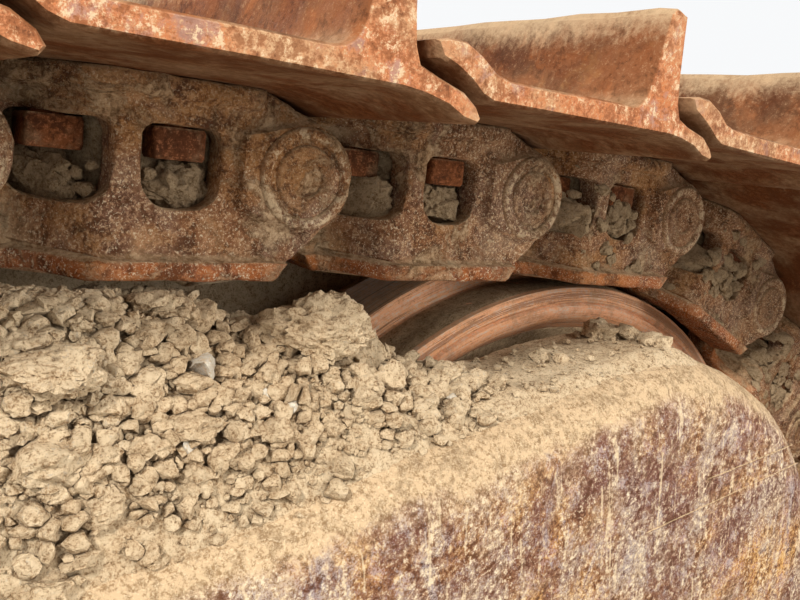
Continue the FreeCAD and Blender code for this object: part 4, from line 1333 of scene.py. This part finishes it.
print("stage")
stage = {
    "floor": (0.48, 0.476, 0.47, 1.0), "farFloor": (0.72, 0.715, 0.705, 1.0), "fade": (2.5, 9.0),
    "half": 14.0, "sky": (0.94, 0.95, 0.96, 1.0), "skyLight": (1.0, 0.985, 0.96, 1.0), "skyPower": 0.62,
    "lamps": (("key", (-1.5, -2.2, 3.9), 0.6, 215.0), ("fill", (5.2, -5.0, 2.5), 4.3, 400.0),
              ("back", (0.5, 3.4, 3.0), 3.0, 70.0)),      # name, place, size and power
    "aim": (0.5, -0.2, 0.7),
    "camera": (0.5797, -0.8242, 1.1776), "forward": (0.5705, 0.7759, -0.2692),
    "up": (0.1846, 0.1982, 0.9626), "sensor": 36.0, "focalPixels": 817.6, "imageWidth": 800,
}


def paleFloor():
    f = Finish("paleFloor")
    place = f.place()
    x, y = f.axis(place, "X"), f.axis(place, "Y")
    worn = f.between(f.grain(place, 9, 6, 0.7), 0.2, 0.8, 0.97, 1.0)
    tone = f.mixed(stage["floor"], stage["farFloor"], f.between((x * x + y * y).root(), *stage["fade"]))
    tone = f.mixed((0.0, 0.0, 0.0, 1.0), tone, worn)
    return f.done(tone, 0.9, f.grain(place, 60, 4), 0.0004, 0.5)


half = stage["half"]
floor = bpy.data.objects.new("floor", meshOf("floor", (
    np.array([(-half, -half, 0), (half, -half, 0), (half, half, 0), (-half, half, 0)], float),
    np.array([(0, 1, 2), (0, 2, 3)]))))
floor.data.materials.append(paleFloor())
bpy.context.scene.collection.objects.link(floor)

world = bpy.data.worlds.new("studio")
bpy.context.scene.world = world
world.use_nodes = True
sky = Nodes(world.node_tree)
seen = sky.add("ShaderNodeLightPath", {}, {}, "Is Camera Ray")
for ray in ("Is Glossy Ray", "Is Transmission Ray"):
    seen = seen.most(sky.add("ShaderNodeLightPath", {}, {}, ray))
lit = sky.add("ShaderNodeBackground", {}, {"Color": stage["skyLight"], "Strength": stage["skyPower"]})
shown = sky.add("ShaderNodeBackground", {}, {"Color": stage["sky"], "Strength": 1.0})
backdrop = sky.add("ShaderNodeMixShader", {}, {0: seen, 1: lit, 2: shown})
sky.add("ShaderNodeOutputWorld", {}, {"Surface": backdrop})

for name, spot, size, power in stage["lamps"]:
    lamp = bpy.data.lights.new(name, "AREA")
    lamp.shape = "DISK"
    lamp.size = size
    lamp.energy = power
    lampObject = bpy.data.objects.new(name, lamp)
    aim = Vector(stage["aim"]) - Vector(spot)
    lampObject.matrix_world = Matrix.Translation(spot) @ aim.to_track_quat("-Z", "Y").to_matrix().to_4x4()
    bpy.context.scene.collection.objects.link(lampObject)

cameraData = bpy.data.cameras.new("camera")
cameraData.sensor_width = stage["sensor"]
cameraData.lens = stage["focalPixels"] / stage["imageWidth"] * stage["sensor"]
cameraData.clip_start = 0.02
camera = bpy.data.objects.new("camera", cameraData)
forward, up = Vector(stage["forward"]).normalized(), Vector(stage["up"]).normalized()
right = forward.cross(up).normalized()
turn = Matrix((right, right.cross(forward), -forward)).transposed().to_4x4()
camera.matrix_world = Matrix.Translation(stage["camera"]) @ turn
bpy.context.scene.collection.objects.link(camera)
bpy.context.scene.camera = camera

bpy.context.scene.view_settings.view_transform = "Standard"

print("done")
